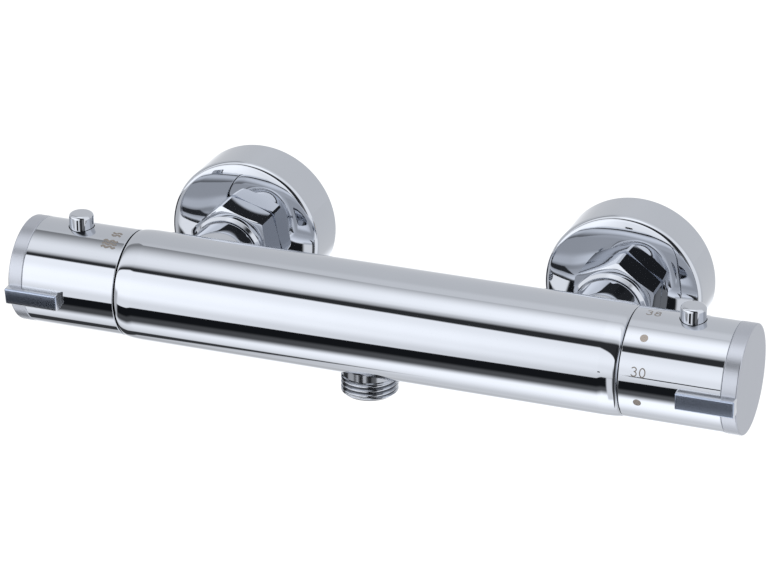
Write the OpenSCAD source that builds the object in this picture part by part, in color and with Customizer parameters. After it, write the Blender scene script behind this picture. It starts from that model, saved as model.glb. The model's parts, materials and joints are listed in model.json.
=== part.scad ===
// Thermostatic bar valve for a shower, wall mounted, with a flow handle on the left
// and a temperature handle on the right.
// The origin lies on the wall, midway between the two water inlets, at the height of the bar.
// X runs along the bar to the temperature handle, Y into the wall, Z up. All lengths in mm.

/* [Bar] */
// Distance between the two water inlets
inlet_centres = 150; // [146:0.5:154]
// Length of the bar beyond the axis of each inlet
end_len = 20.3; // [19.5:0.1:23]
// Wall of the bar outside its hot gallery
bar_wall = 1.75; // [1.4:0.05:2.2]
// Drop of the bar's radius at its rounded ends
shoulder_drop = 0.85; // [0.5:0.05:1.2]
// Length of each rounded end of the bar
shoulder_len = 7; // [5:0.5:9]
// Wall of the two round bosses at the back of the bar
boss_wall = 3.3; // [2.6:0.1:3.8]
// Distance from the bar's axis to the face of a boss
boss_reach = 36; // [34.5:0.1:38]
// Radius of the fillet between a boss and the bar
boss_fillet = 5.5; // [3:0.5:7]

/* [Waterways] */
// Wall between the cartridge's cavity and the hot gallery
gallery_wall = 1.6; // [1.2:0.1:2.4]
// Radial height of the hot gallery behind the cartridge
hot_gallery_h = 2.1; // [1.5:0.1:2.6]
// Radial height of the outlet gallery under the chamber
outlet_gallery_h = 3; // [2:0.1:3.4]
// Half of the angle that the hot gallery spans, in degrees
hot_gallery_half_angle = 38; // [25:1:42]
// Half of the angle that the outlet gallery spans, in degrees
outlet_gallery_half_angle = 34; // [20:1:38]

/* [Outlet] */
// Outer radius of the outlet thread, a half inch pipe thread
outlet_r = 10.48; // [10.3:0.02:10.6]
// Wall of the outlet between its thread and its bore
outlet_wall = 3.48; // [2.8:0.02:4.4]
// Place of the outlet along the bar
outlet_x = -3.2; // [-8:0.1:4]
// Length of the outlet below the bar
outlet_proud = 7.55; // [6.5:0.05:12]

/* [Inlet unions] */
// Outer radius of the three quarter inch pipe thread under the nuts
union_r = 13.22; // [13.1:0.02:13.3]
// Wall of a union nut at the middle of its flats
nut_wall = 1.78; // [1.4:0.02:2.4]
// Length of the six sided part of a union nut
nut_hex_len = 12.1; // [11:0.1:13]
// Wall of the round collar in front of the hexagon
nut_collar_wall = 1.08; // [0.9:0.02:1.4]
// Length of the round collar in front of the hexagon
nut_collar_len = 3.8; // [3.4:0.1:5]
// Gap between a boss of the bar and its union nut
nut_boss_gap = 0.5; // [0.3:0.1:1]
// Outer radius of the half inch thread that screws into the wall
tail_r = 10.48; // [10.3:0.02:10.6]
// Wall of a wall union between that thread and its bore
tail_wall = 3.48; // [2.8:0.02:4.4]
// Length of thread that goes into the wall
tail_in_wall = 14; // [10:0.5:18]
// Offset between the two ends of a wall union
union_offset = 7.5; // [5:0.5:8]
// Thickness of the washer inside a union nut
washer_t = 2; // [1.5:0.1:2.5]

/* [Wall flanges] */
// Depth of a flange, from the wall to its face
flange_depth = 20.4; // [18:0.1:24]
// Outer radius of a wall flange
flange_r = 30; // [29:0.5:33]
// Thickness of a flange's metal
flange_t = 1.2; // [0.8:0.1:1.6]
// Radius of the rounded front edge of a flange
flange_edge_r = 1.9; // [1.7:0.1:2.6]
// Length of the collar inside a flange
flange_collar_len = 6.5; // [4:0.5:7]

/* [Handles] */
// Step from the bar's largest radius down to the handles
handle_step = 0.75; // [0.5:0.05:1.2]
// Gap between the bar and a handle
seam_gap = 0.4; // [0.3:0.05:0.6]
// Wall of a handle's sleeve
sleeve_wall = 1.8; // [1.5:0.1:2]
// Distance from the sleeve's inner end to the hub inside it
hub_place = 12.3; // [11.5:0.1:14]
// Length of the hub inside a handle
hub_len = 18; // [16.5:0.1:20]
// Distance from the hub's outer end to the sleeve's outer end
hub_inset = 6.3; // [5.5:0.1:8]
// Length of the ring of an end cap
cap_len = 5.6; // [5:0.1:7]
// Thickness of the face of an end cap
cap_face_t = 2; // [1.2:0.1:2.4]
// Depth of an end cap's spigot in the sleeve
cap_spigot_len = 3; // [2:0.1:3.4]
// Length of the fin on a handle
fin_len = 20.9; // [19:0.1:23]
// Height of the fin
fin_h = 6.3; // [5.5:0.1:7]
// Height of the fin's face above the handle
fin_proud = 3.2; // [2.4:0.1:4.4]
// Angle of the flow handle's fin below the level, in degrees
flow_fin_angle = 6.5; // [0:0.5:12]
// Angle of the temperature handle's fin below the level, in degrees
temperature_fin_angle = 4; // [0:0.5:12]

/* [Buttons] */
// Radius of a push button
button_r = 4.6; // [4.2:0.1:5]
// Height of a button above the handle
button_proud = 5.2; // [4.4:0.1:6]
// Travel of a button when it is pressed
button_travel = 2.5; // [1.5:0.1:2.8]
// Gap round a button in the sleeve
button_gap = 0.25; // [0.15:0.05:0.4]

/* [Spindles] */
// Radius of a spindle's shaft
spindle_r = 5; // [4.7:0.05:5.2]
// Number of teeth on the spindle's spline
spline_teeth = 16; // [12:1:20]
// Depth of the teeth on the spline
spline_depth = 0.7; // [0.5:0.05:0.9]
// Radius of the thread of the handle screws
screw_r = 2; // [1.5:0.1:2.1]

/* [Travel of the handles] */
// Turn of the temperature handle from 38 degrees to cold, in degrees of angle
cold_turn = 164; // [120:1:168]
// Turn of the temperature handle from 38 degrees to hot, in degrees of angle
hot_turn = 109; // [60:1:112]
// Turn of the flow handle from shut to full flow, in degrees of angle
flow_turn = 90; // [60:1:90]
// Travel of the adjusting nut for one whole turn of its spindle
thread_lead = 1.5; // [1:0.1:2]

/* [Thermostatic cartridge] */
// Inner radius of the cartridge housing, in which the spool slides
thermo_bore_r = 11; // [10.7:0.05:11.4]
// Wall of the cartridge housing at its lands
thermo_wall = 3.6; // [3.2:0.05:4]
// Distance from the cavity's floor to the spool
spool_place = 24; // [21:0.1:26]
// Length of the spool
spool_len = 9.4; // [8.5:0.1:9.8]
// Radius of the bulb of the wax element
bulb_r = 4.2; // [3.6:0.1:4.6]
// Length of the bulb of the wax element
bulb_len = 17; // [14:0.5:18]
// Length of the adjusting nut
nut_len = 10; // [9:0.1:12]
// Room in front of the adjusting nut for its travel
nut_room = 4.8; // [3:0.1:6]

/* [Flow headwork] */
// Radius of the two ceramic discs
disc_r = 9.5; // [9.2:0.1:9.8]
// Thickness of a ceramic disc
disc_t = 3; // [2.5:0.1:3.4]
// Wall of the headwork housing round the discs
flow_wall = 2.8; // [2.2:0.1:3.2]
// Depth of the cavity for the flow headwork
flow_depth = 37.3; // [36:0.1:41]

/* [Check valves] */
// Travel of a check valve's poppet
poppet_travel = 2.5; // [1.5:0.1:3]

/* [Fits] */
// Radial clearance of turning and sliding pieces
run_gap = 0.05; // [0.02:0.01:0.09]
// Radial clearance of screwed and pressed pieces
fix_gap = 0.05; // [0.02:0.01:0.09]
// Radial gap round the cartridges that their sealing rings bridge
seal_gap = 0.4; // [0.3:0.05:0.5]

/* [Hidden] */
$fn = 72;

// Overrun of every cut
cut = 1;
// Small chamfer of turned metal edges
edge = 0.3;
// Steps of a rounded edge
edge_steps = 6;
// Sides of a spring's wire, and steps of each of its turns
wire_sides = 6;
turn_steps = 14;
// Play left at each end of a spring
spring_play = 0.06;
// Small axial play between pieces that turn on each other
nudge = 0.2;

// Directions round the bar, as angles up from the front
top_angle = 90;
back_angle = 180;
bottom_angle = -90;

// Radii of the bar, from the cartridges outwards
disc_room = 0.3;
disc_bore_r = disc_r + disc_room;
flow_r = disc_bore_r + flow_wall;
flow_cavity_r = flow_r + seal_gap;
mixed_r = disc_r;
thermo_r = thermo_bore_r + thermo_wall;
thermo_cavity_r = thermo_r + seal_gap;
hot_gallery_r = thermo_cavity_r + gallery_wall;
bar_r = hot_gallery_r + hot_gallery_h + bar_wall;
neck_r = bar_r - shoulder_drop;
outlet_gallery_wall = 2;
outlet_gallery_r = mixed_r + outlet_gallery_wall;

// Places along the bar
inlet_x = inlet_centres / 2;
body_half_len = inlet_x + end_len;
flow_x0 = body_half_len - flow_depth;
hot_gallery_over = 8;
hot_port_len = 7;
hot_port_gap = 2.7;
port_inset_angle = 1.6;
outlet_gallery_over = 12;

// Pieces of an inlet, from the bar to the wall
nut_lip_t = 3;
nut_lip_gap = 0.4;
nut_chamfer = 1;
nut_collar_chamfer = 1.1;
nut_turn_angles = [43, 25];
nut_af = 2 * (union_r + nut_wall);
nut_collar_r = union_r + nut_collar_wall;
nut_a0 = boss_reach + nut_boss_gap;
hex_a0 = nut_a0 + nut_collar_len;
flange_a0 = hex_a0 + nut_hex_len;
wall_distance = flange_a0 + flange_depth;
nipple_shoulder_t = 2.8;
nipple_shoulder_gap = 0.62;
nipple_neck_drop = 3.12;
nipple_thread_drop = 0.5;
nipple_wall = 2.2;
nipple_end_gap = 1.6;
nipple_shoulder_r = union_r - nipple_shoulder_gap;
nipple_neck_r = union_r - nipple_neck_drop;
nipple_thread_r = nipple_neck_r - nipple_thread_drop;
boss_r = nipple_thread_r + boss_wall;
lip_a1 = nut_a0 + nut_lip_t;
shoulder_a1 = lip_a1 + nipple_shoulder_t;
union_a0 = shoulder_a1 + washer_t;
washer_w = 4.2;
washer_hole_r = nipple_shoulder_r - washer_w;
strainer_t = 0.6;
strainer_hole_r = 0.8;
strainer_step_share = 0.31;
union_bore_r = tail_r - tail_wall;
union_body_t = 4.5;
union_body_step = 1.78;
tail_body_t = 5;
tail_body_step = 3.02;

// Check valves
check_r = nipple_thread_r - nipple_wall;
check_wall = 1.6;
check_in_r = check_r - check_wall;
check_seat_t = 1.2;
check_hub_len = 3;
check_ledge_t = 1.6;
poppet_stem_r = 1.2;
poppet_head_t = 1.8;
poppet_gap = 0.4;
poppet_block_len = 3.95;
poppet_spring_r = 2.6;
poppet_wire_r = 0.32;
poppet_spring_turns = 4.5;
poppet_room = poppet_block_len + poppet_travel;
check_len = check_hub_len + poppet_room + poppet_head_t + run_gap + check_seat_t;
check_a0 = shoulder_a1 - check_len - check_ledge_t;
nipple_a0 = check_a0 - check_ledge_t;
port_gap = 0.1;
port_r = check_r + port_gap;

// Outlet
outlet_chamfer = 1;
outlet_neck_len = 0.5;
outlet_neck_drop = 0.4;
outlet_neck_r = outlet_r - outlet_neck_drop;
outlet_thread_drop = 0.9;
outlet_seal_t = 0.9;
outlet_ledge = 0.55;
outlet_bore_r = outlet_r - outlet_wall;
outlet_screw_r = outlet_r - outlet_thread_drop;
outlet_floor = outlet_gallery_r + outlet_gallery_h + outlet_ledge;
outlet_thread_z = bar_r + outlet_neck_len;
outlet_reach = bar_r + outlet_proud;

// Handle chain, measured outwards from the middle of the bar
handle_r = bar_r - handle_step;
sleeve_in_r = handle_r - sleeve_wall;
hub_r = sleeve_in_r - fix_gap;
sleeve_x0 = body_half_len + seam_gap;
hub_x0 = sleeve_x0 + hub_place;
hub_x1 = hub_x0 + hub_len;
sleeve_x1 = hub_x1 + hub_inset;
cap_x1 = sleeve_x1 + cap_len;
hub_web_t = 2;
cap_edge = 0.5;
cap_wall = 1.6;
cap_bore_r = sleeve_in_r - cap_wall;
fin_reach = handle_r + fin_proud;
fin_chamfer = 0.5;
fin_peg_r = 1.1;
fin_peg_depth = 1.3;
fin_peg_places_share = [0.2, 0.58];

// Buttons, measured outwards from the handle's axis
button_shift = 0.5;
button_x = (hub_x0 + hub_x1) / 2 - button_shift;
button_top = handle_r + button_proud;
button_round = 0.7;
button_lip_w = 1;
button_lip_t = 1.2;
button_lip_r = button_r + button_lip_w;
button_lip_top = sqrt(pow(sleeve_in_r, 2) - pow(button_lip_r, 2)) - 2 * fix_gap;
button_lip_bottom = button_lip_top - button_lip_t;
button_block_len = 3.7;
button_pocket_floor = button_lip_bottom - button_travel - button_block_len;
button_pocket_gap = 0.3;
button_stem_r = 1.6;
button_stem_grip = 0.7;
button_stem_bottom = button_pocket_floor - button_stem_grip;
button_guide_floor = button_stem_bottom - button_travel - nudge;
button_spring_r = 3.2;
button_wire_r = 0.35;
button_spring_turns = 4.5;

// Spindles and stops
neck_wall = 4;
neck_out_r = spindle_r + neck_wall;
neck_gap = 0.6;
neck_x1 = hub_x0 - neck_gap;
spindle_x1 = hub_x1 - hub_web_t - edge;
spline_x0 = hub_x0 - nudge;
spline_len = spindle_x1 - spline_x0;
spline_drop = 0.2;
spline_r = spindle_r - spline_drop;
tooth_shares = [0, 0.35, 0.5, 0.85];
spindle_seal_wire = 0.7;
lock_nut_len = 7.3;
lock_nut_wall = 2.4;
lock_notch_w = 4;
lock_notch_d = 1.8;
stop_ring_t = 2;
stop_ring_wall = 1.6;
stop_ring_r = neck_out_r + stop_ring_wall;
stop_lug_gap = 1.7;
stop_lug_r = sleeve_in_r - stop_lug_gap;
stop_place = 2.2;
stop_x0 = sleeve_x0 + stop_place;
stop_end_gap = 3.1;
stop_lug_len = hub_place - stop_place - stop_end_gap;
stop_margin_angle = 1;
rib_gap = 1.8;
rib_in_r = stop_ring_r + rib_gap;
rib_hold = 2.4;
rib_len = stop_end_gap + rib_hold;
rib_half_angle = 12;
screw_head_step = 1.6;
screw_head_r = screw_r + screw_head_step;
screw_head_t = 2.2;
screw_len = 11;
screw_slot_w = 0.8;
screw_slot_d = 1;
screw_x1 = hub_x1 + screw_head_t;

// Thermostatic cartridge, measured outwards from the middle of the bar
cold_slide = thread_lead * cold_turn / 360;
hot_slide = thread_lead * hot_turn / 360;
bulb_flange_step = 2.3;
bulb_flange_r = bulb_r + bulb_flange_step;
bulb_flange_t = 1.5;
bulb_neck_drop = 0.8;
bulb_neck_r = bulb_r - bulb_neck_drop;
bulb_neck_len = 3.5;
bulb_round = 1;
piston_r = 1.5;
piston_len = 5;
piston_cap_step = 1.9;
piston_cap_t = 1.5;
spool_web_inset = 3.6;
spool_web_t = 2;
spindle_collar_step = 2.5;
spindle_collar_r = spindle_r + spindle_collar_step;
spindle_collar_t = 2.4;
thermo_neck_t = 4.3;
cap_place = spool_place + spool_web_inset + spool_web_t + bulb_flange_t + bulb_neck_len + piston_len;
thermo_depth = cap_place + nut_len + nut_room + nudge + spindle_collar_t + thermo_neck_t;
thermo_x0 = body_half_len - thermo_depth;
piston_cap_x = thermo_x0 + cap_place;
thermo_neck_wall_x = body_half_len - thermo_neck_t;
thermo_bore_x1 = thermo_neck_wall_x - spindle_collar_t - nudge;
seat_margin = 0.12;
seat_t = 2;
seat_w = 2;
seat_in_r = thermo_bore_r - seat_w;
cold_seat_w = 3.4;
cold_seat_in_r = thermo_bore_r - cold_seat_w;
spool_x0 = thermo_x0 + spool_place;
spool_x1 = spool_x0 + spool_len;
hot_seat_x = spool_x0 - cold_slide - seat_margin;
cold_seat_x = spool_x1 + hot_slide + seat_margin;
spool_r = thermo_bore_r - run_gap;
spool_wall = 1.7;
spool_in_r = spool_r - spool_wall;
spool_web_x = spool_x0 + spool_web_inset;
spool_hole_share = 0.45;
spool_holes = 8;
return_gap = 2.1;
return_r = seat_in_r - return_gap;
return_wire_r = 0.6;
return_turns = 6.5;
thermo_end_t = 4.2;
spring_seat_w = 0.7;
thermo_end_hole_r = return_r - spring_seat_w;
groove_wall = 1.4;
groove_r = thermo_bore_r + groove_wall;
hot_land_len = 6;
land_len = 5;
land_x0 = spool_x0 + spool_len / 2 - land_len / 2;
land_x1 = land_x0 + land_len;
hot_port_x1 = land_x0 - hot_port_gap;
hot_port_x0 = hot_port_x1 - hot_port_len;
window_len = 3;
window_w = 7;
window_count = 6;
thermo_shoulder_x = body_half_len - lock_nut_len;
thermo_land_len = 4.4;
nut_gap = 0.2;
nut_cup_len = 5.5;
nut_cup_gap = 0.2;
thermo_thread_drop = 0.5;
thermo_thread_r = spindle_r - thermo_thread_drop;
piston_cap_r = thermo_thread_r + piston_cap_step;
nut_cup_r = piston_cap_r + nut_cup_gap;
key_w = 2.6;
key_h = 1.2;
key_root = 0.5;
key_gap = 0.1;
key_in_r = thermo_bore_r - key_h;
over_gap = 0.5;
over_wire_r = 0.4;
over_r = nut_cup_r - over_gap - over_wire_r;
over_turns = 3;
thermo_thread_end_gap = 1;
seal_wire = 1.1;

// Flow headwork, measured outwards from the middle of the bar
seat_seal_t = 2;
seat_seal_w = 3.5;
seat_seal_over = 1;
seat_seal_out_r = disc_r + seat_seal_over;
seat_seal_in_r = seat_seal_out_r - seat_seal_w;
disc_gap = 0.02;
disc_x0 = flow_x0 + seat_seal_t;
disc2_x0 = disc_x0 + disc_t + disc_gap;
driver_x0 = disc2_x0 + disc_t;
driver_t = 2.5;
driver_dog_w = 2.4;
driver_dog_t = 1.4;
driver_dog_gap = 0.2;
disc_port_in_r = 3;
disc_rim = 1.5;
disc_port_out_r = disc_r - disc_rim;
disc_port_half_angle = 38;
driver_dog_r = disc_port_out_r - driver_dog_gap;
flow_groove_depth = 1;
flow_groove_r = flow_r - flow_groove_depth;
flow_bore_x1 = driver_x0 + driver_t + 2 * run_gap;
flow_window_len = 4;
flow_window_count = 4;

// Frames

// Moves its children from the bar's axis to the part's own frame
module on_bar() {
    translate([0, -wall_distance, 0]) children();
}

// Frame of a handle: local X points outwards, side is -1 for flow and 1 for temperature
module handle_frame(side) {
    on_bar() if (side < 0) mirror([1, 0, 0]) children(); else children();
}

// Frame of an inlet: local Z runs from the bar's axis to the wall
module inlet_frame(side) {
    on_bar() translate([side * inlet_x, 0, 0]) rotate([-90, 0, 0]) children();
}

// Frame of the outlet: local Z points down from the bar's axis
module outlet_frame() {
    on_bar() translate([outlet_x, 0, 0]) rotate([180, 0, 0]) children();
}

// Shapes

// Body of revolution about X, from an outline of [radius, place along X]
module turned(outline) {
    rotate([0, 90, 0]) rotate_extrude() polygon(outline);
}

// Ring or tube about X between two places
module ring_x(x0, x1, out_r, in_r) {
    turned([[in_r, x0], [out_r, x0], [out_r, x1], [in_r, x1]]);
}

// Rod about X between two places
module rod_x(x0, x1, r) {
    translate([x0, 0, 0]) rotate([0, 90, 0]) cylinder(h = x1 - x0, r = r);
}

// Tube about Z between two heights
module tube_z(z0, z1, out_r, in_r) {
    translate([0, 0, z0]) difference() {
        cylinder(h = z1 - z0, r = out_r);
        translate([0, 0, -cut]) cylinder(h = z1 - z0 + 2 * cut, r = in_r);
    }
}

// Sector of a ring about X, whose middle lies at an angle up from the front
module sector_x(x0, x1, out_r, in_r, mid, half) {
    translate([x0, 0, 0]) rotate([0, 90, 0]) rotate([0, 0, 270 - mid - half])
        rotate_extrude(angle = 2 * half) translate([in_r, 0]) square([out_r - in_r, x1 - x0]);
}

// Sealing ring about X
module o_ring_x(x, r, wire) {
    translate([x, 0, 0]) rotate([0, 90, 0]) rotate_extrude() translate([r, 0]) circle(r = wire);
}

// Points of a quarter round from angle a0 to a1 about a centre
function arc_points(centre, r, a0, a1, steps) =
    [for (i = [0:steps]) let (a = a0 + (a1 - a0) * i / steps) centre + r * [cos(a), sin(a)]];

// Points of an oval quarter from angle a0 to a1 about a centre
function oval_points(centre, size, a0, a1, steps) =
    [for (i = [0:steps]) let (a = a0 + (a1 - a0) * i / steps)
        centre + [size[0] * cos(a), size[1] * sin(a)]];

// Coil spring along Z, one unbroken wire, between two heights
module coil_spring(z0, z1, r, wire_r, turns) {
    steps = ceil(turns * turn_steps);
    low = z0 + wire_r + spring_play;
    rise = z1 - z0 - 2 * (wire_r + spring_play);
    rings = [for (i = [0:steps]) let (t = 360 * turns * i / steps, z = low + rise * i / steps)
        for (j = [0:wire_sides - 1]) let (a = 360 * j / wire_sides)
            [(r + wire_r * cos(a)) * cos(t), (r + wire_r * cos(a)) * sin(t), z + wire_r * sin(a)]];
    walls = [for (i = [0:steps - 1]) for (j = [0:wire_sides - 1])
        let (k = (j + 1) % wire_sides, b = i * wire_sides, u = b + wire_sides)
            each [[b + j, u + j, u + k], [b + j, u + k, b + k]]];
    start = [for (j = [1:wire_sides - 2]) [0, j, j + 1]];
    last = steps * wire_sides;
    finish = [for (j = [1:wire_sides - 2]) [last, last + j + 1, last + j]];
    polyhedron(points = rings, faces = concat(walls, start, finish));
}

// Toothed outline of a spline: each tooth has four corners, at shares of its pitch
module spline_outline(r) {
    radii = [r, r, r - spline_depth, r - spline_depth];
    polygon([for (i = [0:spline_teeth - 1]) for (j = [0:3])
        let (a = 360 * (i + tooth_shares[j]) / spline_teeth) radii[j] * [cos(a), sin(a)]]);
}

// Bar

module bar_outside() {
    half = concat(
        [[0, body_half_len], [neck_r - edge, body_half_len]],
        oval_points([neck_r, body_half_len - shoulder_len], [shoulder_drop, shoulder_len - edge],
            90, 0, edge_steps));
    whole = concat(half, [for (i = [len(half) - 1:-1:0]) [half[i][0], -half[i][1]]]);
    turned(whole);
}

module boss_outside(side) {
    foot = bar_r - boss_fillet;
    outline = concat(
        [[0, 0], [boss_r + boss_fillet, 0], [boss_r + boss_fillet, foot]],
        arc_points([boss_r + boss_fillet, foot + 2 * boss_fillet], boss_fillet, 225, 180, edge_steps),
        [[boss_r, boss_reach - edge], [boss_r - edge, boss_reach], [0, boss_reach]]);
    inlet_frame(side) rotate_extrude() polygon(outline);
}

module bar_body() {
    color("gainsboro") difference() {
        union() {
            on_bar() bar_outside();
            intersection() {
                for (side = [-1, 1]) boss_outside(side);
                on_bar() rod_x(-body_half_len, body_half_len, boss_reach + boss_r);
            }
        }
        on_bar() {
            rod_x(-flow_x0 - cut, thermo_x0 + cut, mixed_r);
            rod_x(thermo_x0, body_half_len + cut, thermo_cavity_r);
            rod_x(-body_half_len - cut, -flow_x0, flow_cavity_r);
            sector_x(-inlet_x - hot_gallery_over, hot_port_x1, hot_gallery_r + hot_gallery_h,
                hot_gallery_r, back_angle, hot_gallery_half_angle);
            sector_x(hot_port_x0, hot_port_x1, hot_gallery_r + cut / 2, thermo_cavity_r - cut,
                back_angle, hot_gallery_half_angle - port_inset_angle);
            sector_x(-flow_x0 - outlet_gallery_over, outlet_x + outlet_r - outlet_gallery_wall,
                outlet_gallery_r + outlet_gallery_h, outlet_gallery_r, bottom_angle,
                outlet_gallery_half_angle);
        }
        inlet_frame(-1) translate([0, 0, hot_gallery_r + hot_gallery_h / 2])
            cylinder(h = boss_reach, r = port_r);
        inlet_frame(1) translate([0, 0, thermo_cavity_r - 2 * cut]) cylinder(h = boss_reach, r = port_r);
        for (side = [-1, 1]) inlet_frame(side) translate([0, 0, nipple_a0 - nipple_end_gap])
            cylinder(h = boss_reach, r = nipple_thread_r + fix_gap);
        outlet_frame() translate([0, 0, outlet_gallery_r + outlet_gallery_h / 2])
            cylinder(h = bar_r, r = outlet_bore_r);
        outlet_frame() translate([0, 0, outlet_floor])
            cylinder(h = bar_r, r = outlet_screw_r + fix_gap);
    }
}

// Outlet

module outlet_nipple() {
    top = outlet_floor + fix_gap + outlet_seal_t;
    // Height at which the neck clears the round underside of the bar
    saddle = sqrt(pow(bar_r, 2) - pow(outlet_neck_r, 2));
    outline = [
        [outlet_bore_r, top], [outlet_screw_r, top], [outlet_screw_r, bar_r + fix_gap],
        [outlet_neck_r, bar_r + fix_gap], [outlet_neck_r, outlet_thread_z],
        [outlet_r, outlet_thread_z], [outlet_r, outlet_reach - outlet_chamfer],
        [outlet_r - outlet_chamfer, outlet_reach], [outlet_bore_r, outlet_reach]];
    color("silver") union() {
        outlet_frame() rotate_extrude() polygon(outline);
        difference() {
            outlet_frame()
                tube_z(saddle - cut, outlet_thread_z, outlet_neck_r, outlet_screw_r - fix_gap);
            on_bar() rod_x(outlet_x - bar_r, outlet_x + bar_r, bar_r + fix_gap);
        }
    }
}

module outlet_seal() {
    color("dimgray") outlet_frame()
        tube_z(outlet_floor, outlet_floor + outlet_seal_t, outlet_screw_r, outlet_bore_r + edge);
}

// Inlets

module union_nut(side) {
    corner = nut_af / sqrt(3);
    round_r = corner - edge;
    outside = [
        [0, nut_a0], [nut_collar_r - nut_collar_chamfer, nut_a0],
        [nut_collar_r, nut_a0 + nut_collar_chamfer], [nut_collar_r, hex_a0],
        [nut_af / 2, hex_a0], [round_r, hex_a0 + nut_chamfer],
        [round_r, flange_a0 - nut_chamfer], [nut_af / 2, flange_a0], [0, flange_a0]];
    color("gainsboro") inlet_frame(side) difference() {
        intersection() {
            rotate_extrude() polygon(outside);
            union() {
                translate([0, 0, nut_a0]) cylinder(h = nut_collar_len, r = nut_collar_r + cut);
                translate([0, 0, hex_a0]) rotate([0, 0, -nut_turn_angles[(side + 1) / 2]])
                    cylinder(h = nut_hex_len, r = corner, $fn = 6);
            }
        }
        translate([0, 0, nut_a0 - cut])
            cylinder(h = nut_lip_t + 2 * cut, r = nipple_neck_r + nut_lip_gap);
        translate([0, 0, lip_a1])
            cylinder(h = flange_a0 - lip_a1 + cut, r = union_r + fix_gap);
    }
}

module inlet_nipple(side) {
    outline = [
        [check_in_r, nipple_a0], [check_in_r, check_a0], [check_r + fix_gap, check_a0],
        [check_r + fix_gap, shoulder_a1], [nipple_shoulder_r, shoulder_a1],
        [nipple_shoulder_r, lip_a1], [nipple_neck_r, lip_a1], [nipple_neck_r, boss_reach],
        [nipple_thread_r, boss_reach], [nipple_thread_r, nipple_a0]];
    color("goldenrod") inlet_frame(side) rotate_extrude() polygon(outline);
}

module inlet_washer(side) {
    color("dimgray") inlet_frame(side)
        tube_z(shoulder_a1, union_a0, nipple_shoulder_r, washer_hole_r + fix_gap);
}

// Disc with rings of holes, each given as its number of steps outwards and of holes
module strainer(side) {
    rings = [[0, 1], [1, 6], [2, 12]];
    step = strainer_step_share * washer_hole_r;
    color("silver") inlet_frame(side) translate([0, 0, shoulder_a1]) difference() {
        cylinder(h = strainer_t, r = washer_hole_r);
        for (ring = rings) for (i = [0:ring[1] - 1])
            rotate([0, 0, 360 * i / ring[1]]) translate([ring[0] * step, 0, -cut])
                cylinder(h = strainer_t + 2 * cut, r = strainer_hole_r);
    }
}

module check_housing(side) {
    check_a1 = check_a0 + check_len;
    color("whitesmoke") inlet_frame(side) {
        tube_z(check_a0, check_a1, check_r, check_in_r);
        tube_z(check_a1 - check_seat_t, check_a1, check_in_r + fix_gap, check_in_r - check_wall);
        tube_z(check_a0, check_a0 + check_hub_len, 2 * poppet_stem_r, poppet_stem_r + run_gap);
        for (i = [0:2]) rotate([0, 0, 120 * i]) translate([2 * poppet_stem_r - fix_gap,
            -poppet_stem_r / 2, check_a0])
            cube([check_in_r - 2 * poppet_stem_r + 2 * fix_gap, poppet_stem_r, check_hub_len]);
    }
}

module poppet(side) {
    head_a0 = check_a0 + check_hub_len + poppet_room;
    head_a1 = head_a0 + poppet_head_t;
    head_r = check_in_r - poppet_gap;
    outline = [
        [0, check_a0 + nudge], [poppet_stem_r, check_a0 + nudge], [poppet_stem_r, head_a0],
        [head_r, head_a0 + edge], [head_r, head_a1 - edge], [head_r - edge, head_a1], [0, head_a1]];
    color("white") inlet_frame(side) rotate_extrude() polygon(outline);
}

module poppet_spring(side) {
    foot = check_a0 + check_hub_len;
    color("darkgray") inlet_frame(side)
        coil_spring(foot, foot + poppet_room, poppet_spring_r, poppet_wire_r, poppet_spring_turns);
}

module wall_union(side) {
    body_a0 = wall_distance - tail_body_t - union_body_t;
    body_a1 = wall_distance - tail_body_t;
    color("goldenrod") inlet_frame(side) difference() {
        union() {
            translate([0, 0, union_a0]) cylinder(h = body_a0 - union_a0 + fix_gap, r = union_r);
            translate([0, 0, body_a0]) cylinder(h = union_body_t, r = union_r + union_body_step);
            translate([0, -union_offset, body_a0])
                cylinder(h = union_body_t + tail_body_t / 2, r = tail_r + tail_body_step);
            translate([0, -union_offset, body_a1])
                cylinder(h = tail_body_t + tail_in_wall, r = tail_r);
        }
        translate([0, 0, union_a0 - cut])
            cylinder(h = body_a1 - union_a0, r = union_bore_r);
        translate([0, -union_offset, body_a0 + cut])
            cylinder(h = tail_in_wall + wall_distance - body_a0, r = union_bore_r);
    }
}

module wall_flange(side) {
    hole_r = union_r + fix_gap;
    collar_r = hole_r + 2 * flange_t;
    face = flange_a0 + flange_t;
    in_r = flange_r - flange_t;
    outline = concat(
        [[hole_r, flange_a0], [flange_r - flange_edge_r, flange_a0]],
        arc_points([flange_r - flange_edge_r, flange_a0 + flange_edge_r], flange_edge_r, -90, 0,
            edge_steps),
        [[flange_r, wall_distance], [in_r, wall_distance], [in_r, face + flange_edge_r - flange_t]],
        arc_points([flange_r - flange_edge_r, flange_a0 + flange_edge_r], flange_edge_r - flange_t,
            0, -90, edge_steps),
        [[collar_r, face], [collar_r, flange_a0 + flange_collar_len],
            [hole_r, flange_a0 + flange_collar_len]]);
    color("gainsboro") inlet_frame(side) rotate_extrude() polygon(outline);
}

// Handles

module handle_sleeve(side, fin_angle) {
    outline = [
        [sleeve_in_r, sleeve_x0], [handle_r - edge, sleeve_x0], [handle_r, sleeve_x0 + edge],
        [handle_r, sleeve_x1 - edge], [handle_r - edge, sleeve_x1], [sleeve_in_r, sleeve_x1]];
    color("gainsboro") handle_frame(side) difference() {
        turned(outline);
        translate([button_x, 0, 0]) cylinder(h = button_top, r = button_r + button_gap);
        fin_pegs(fin_angle, fin_peg_r + fix_gap, fix_gap);
    }
}

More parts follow.
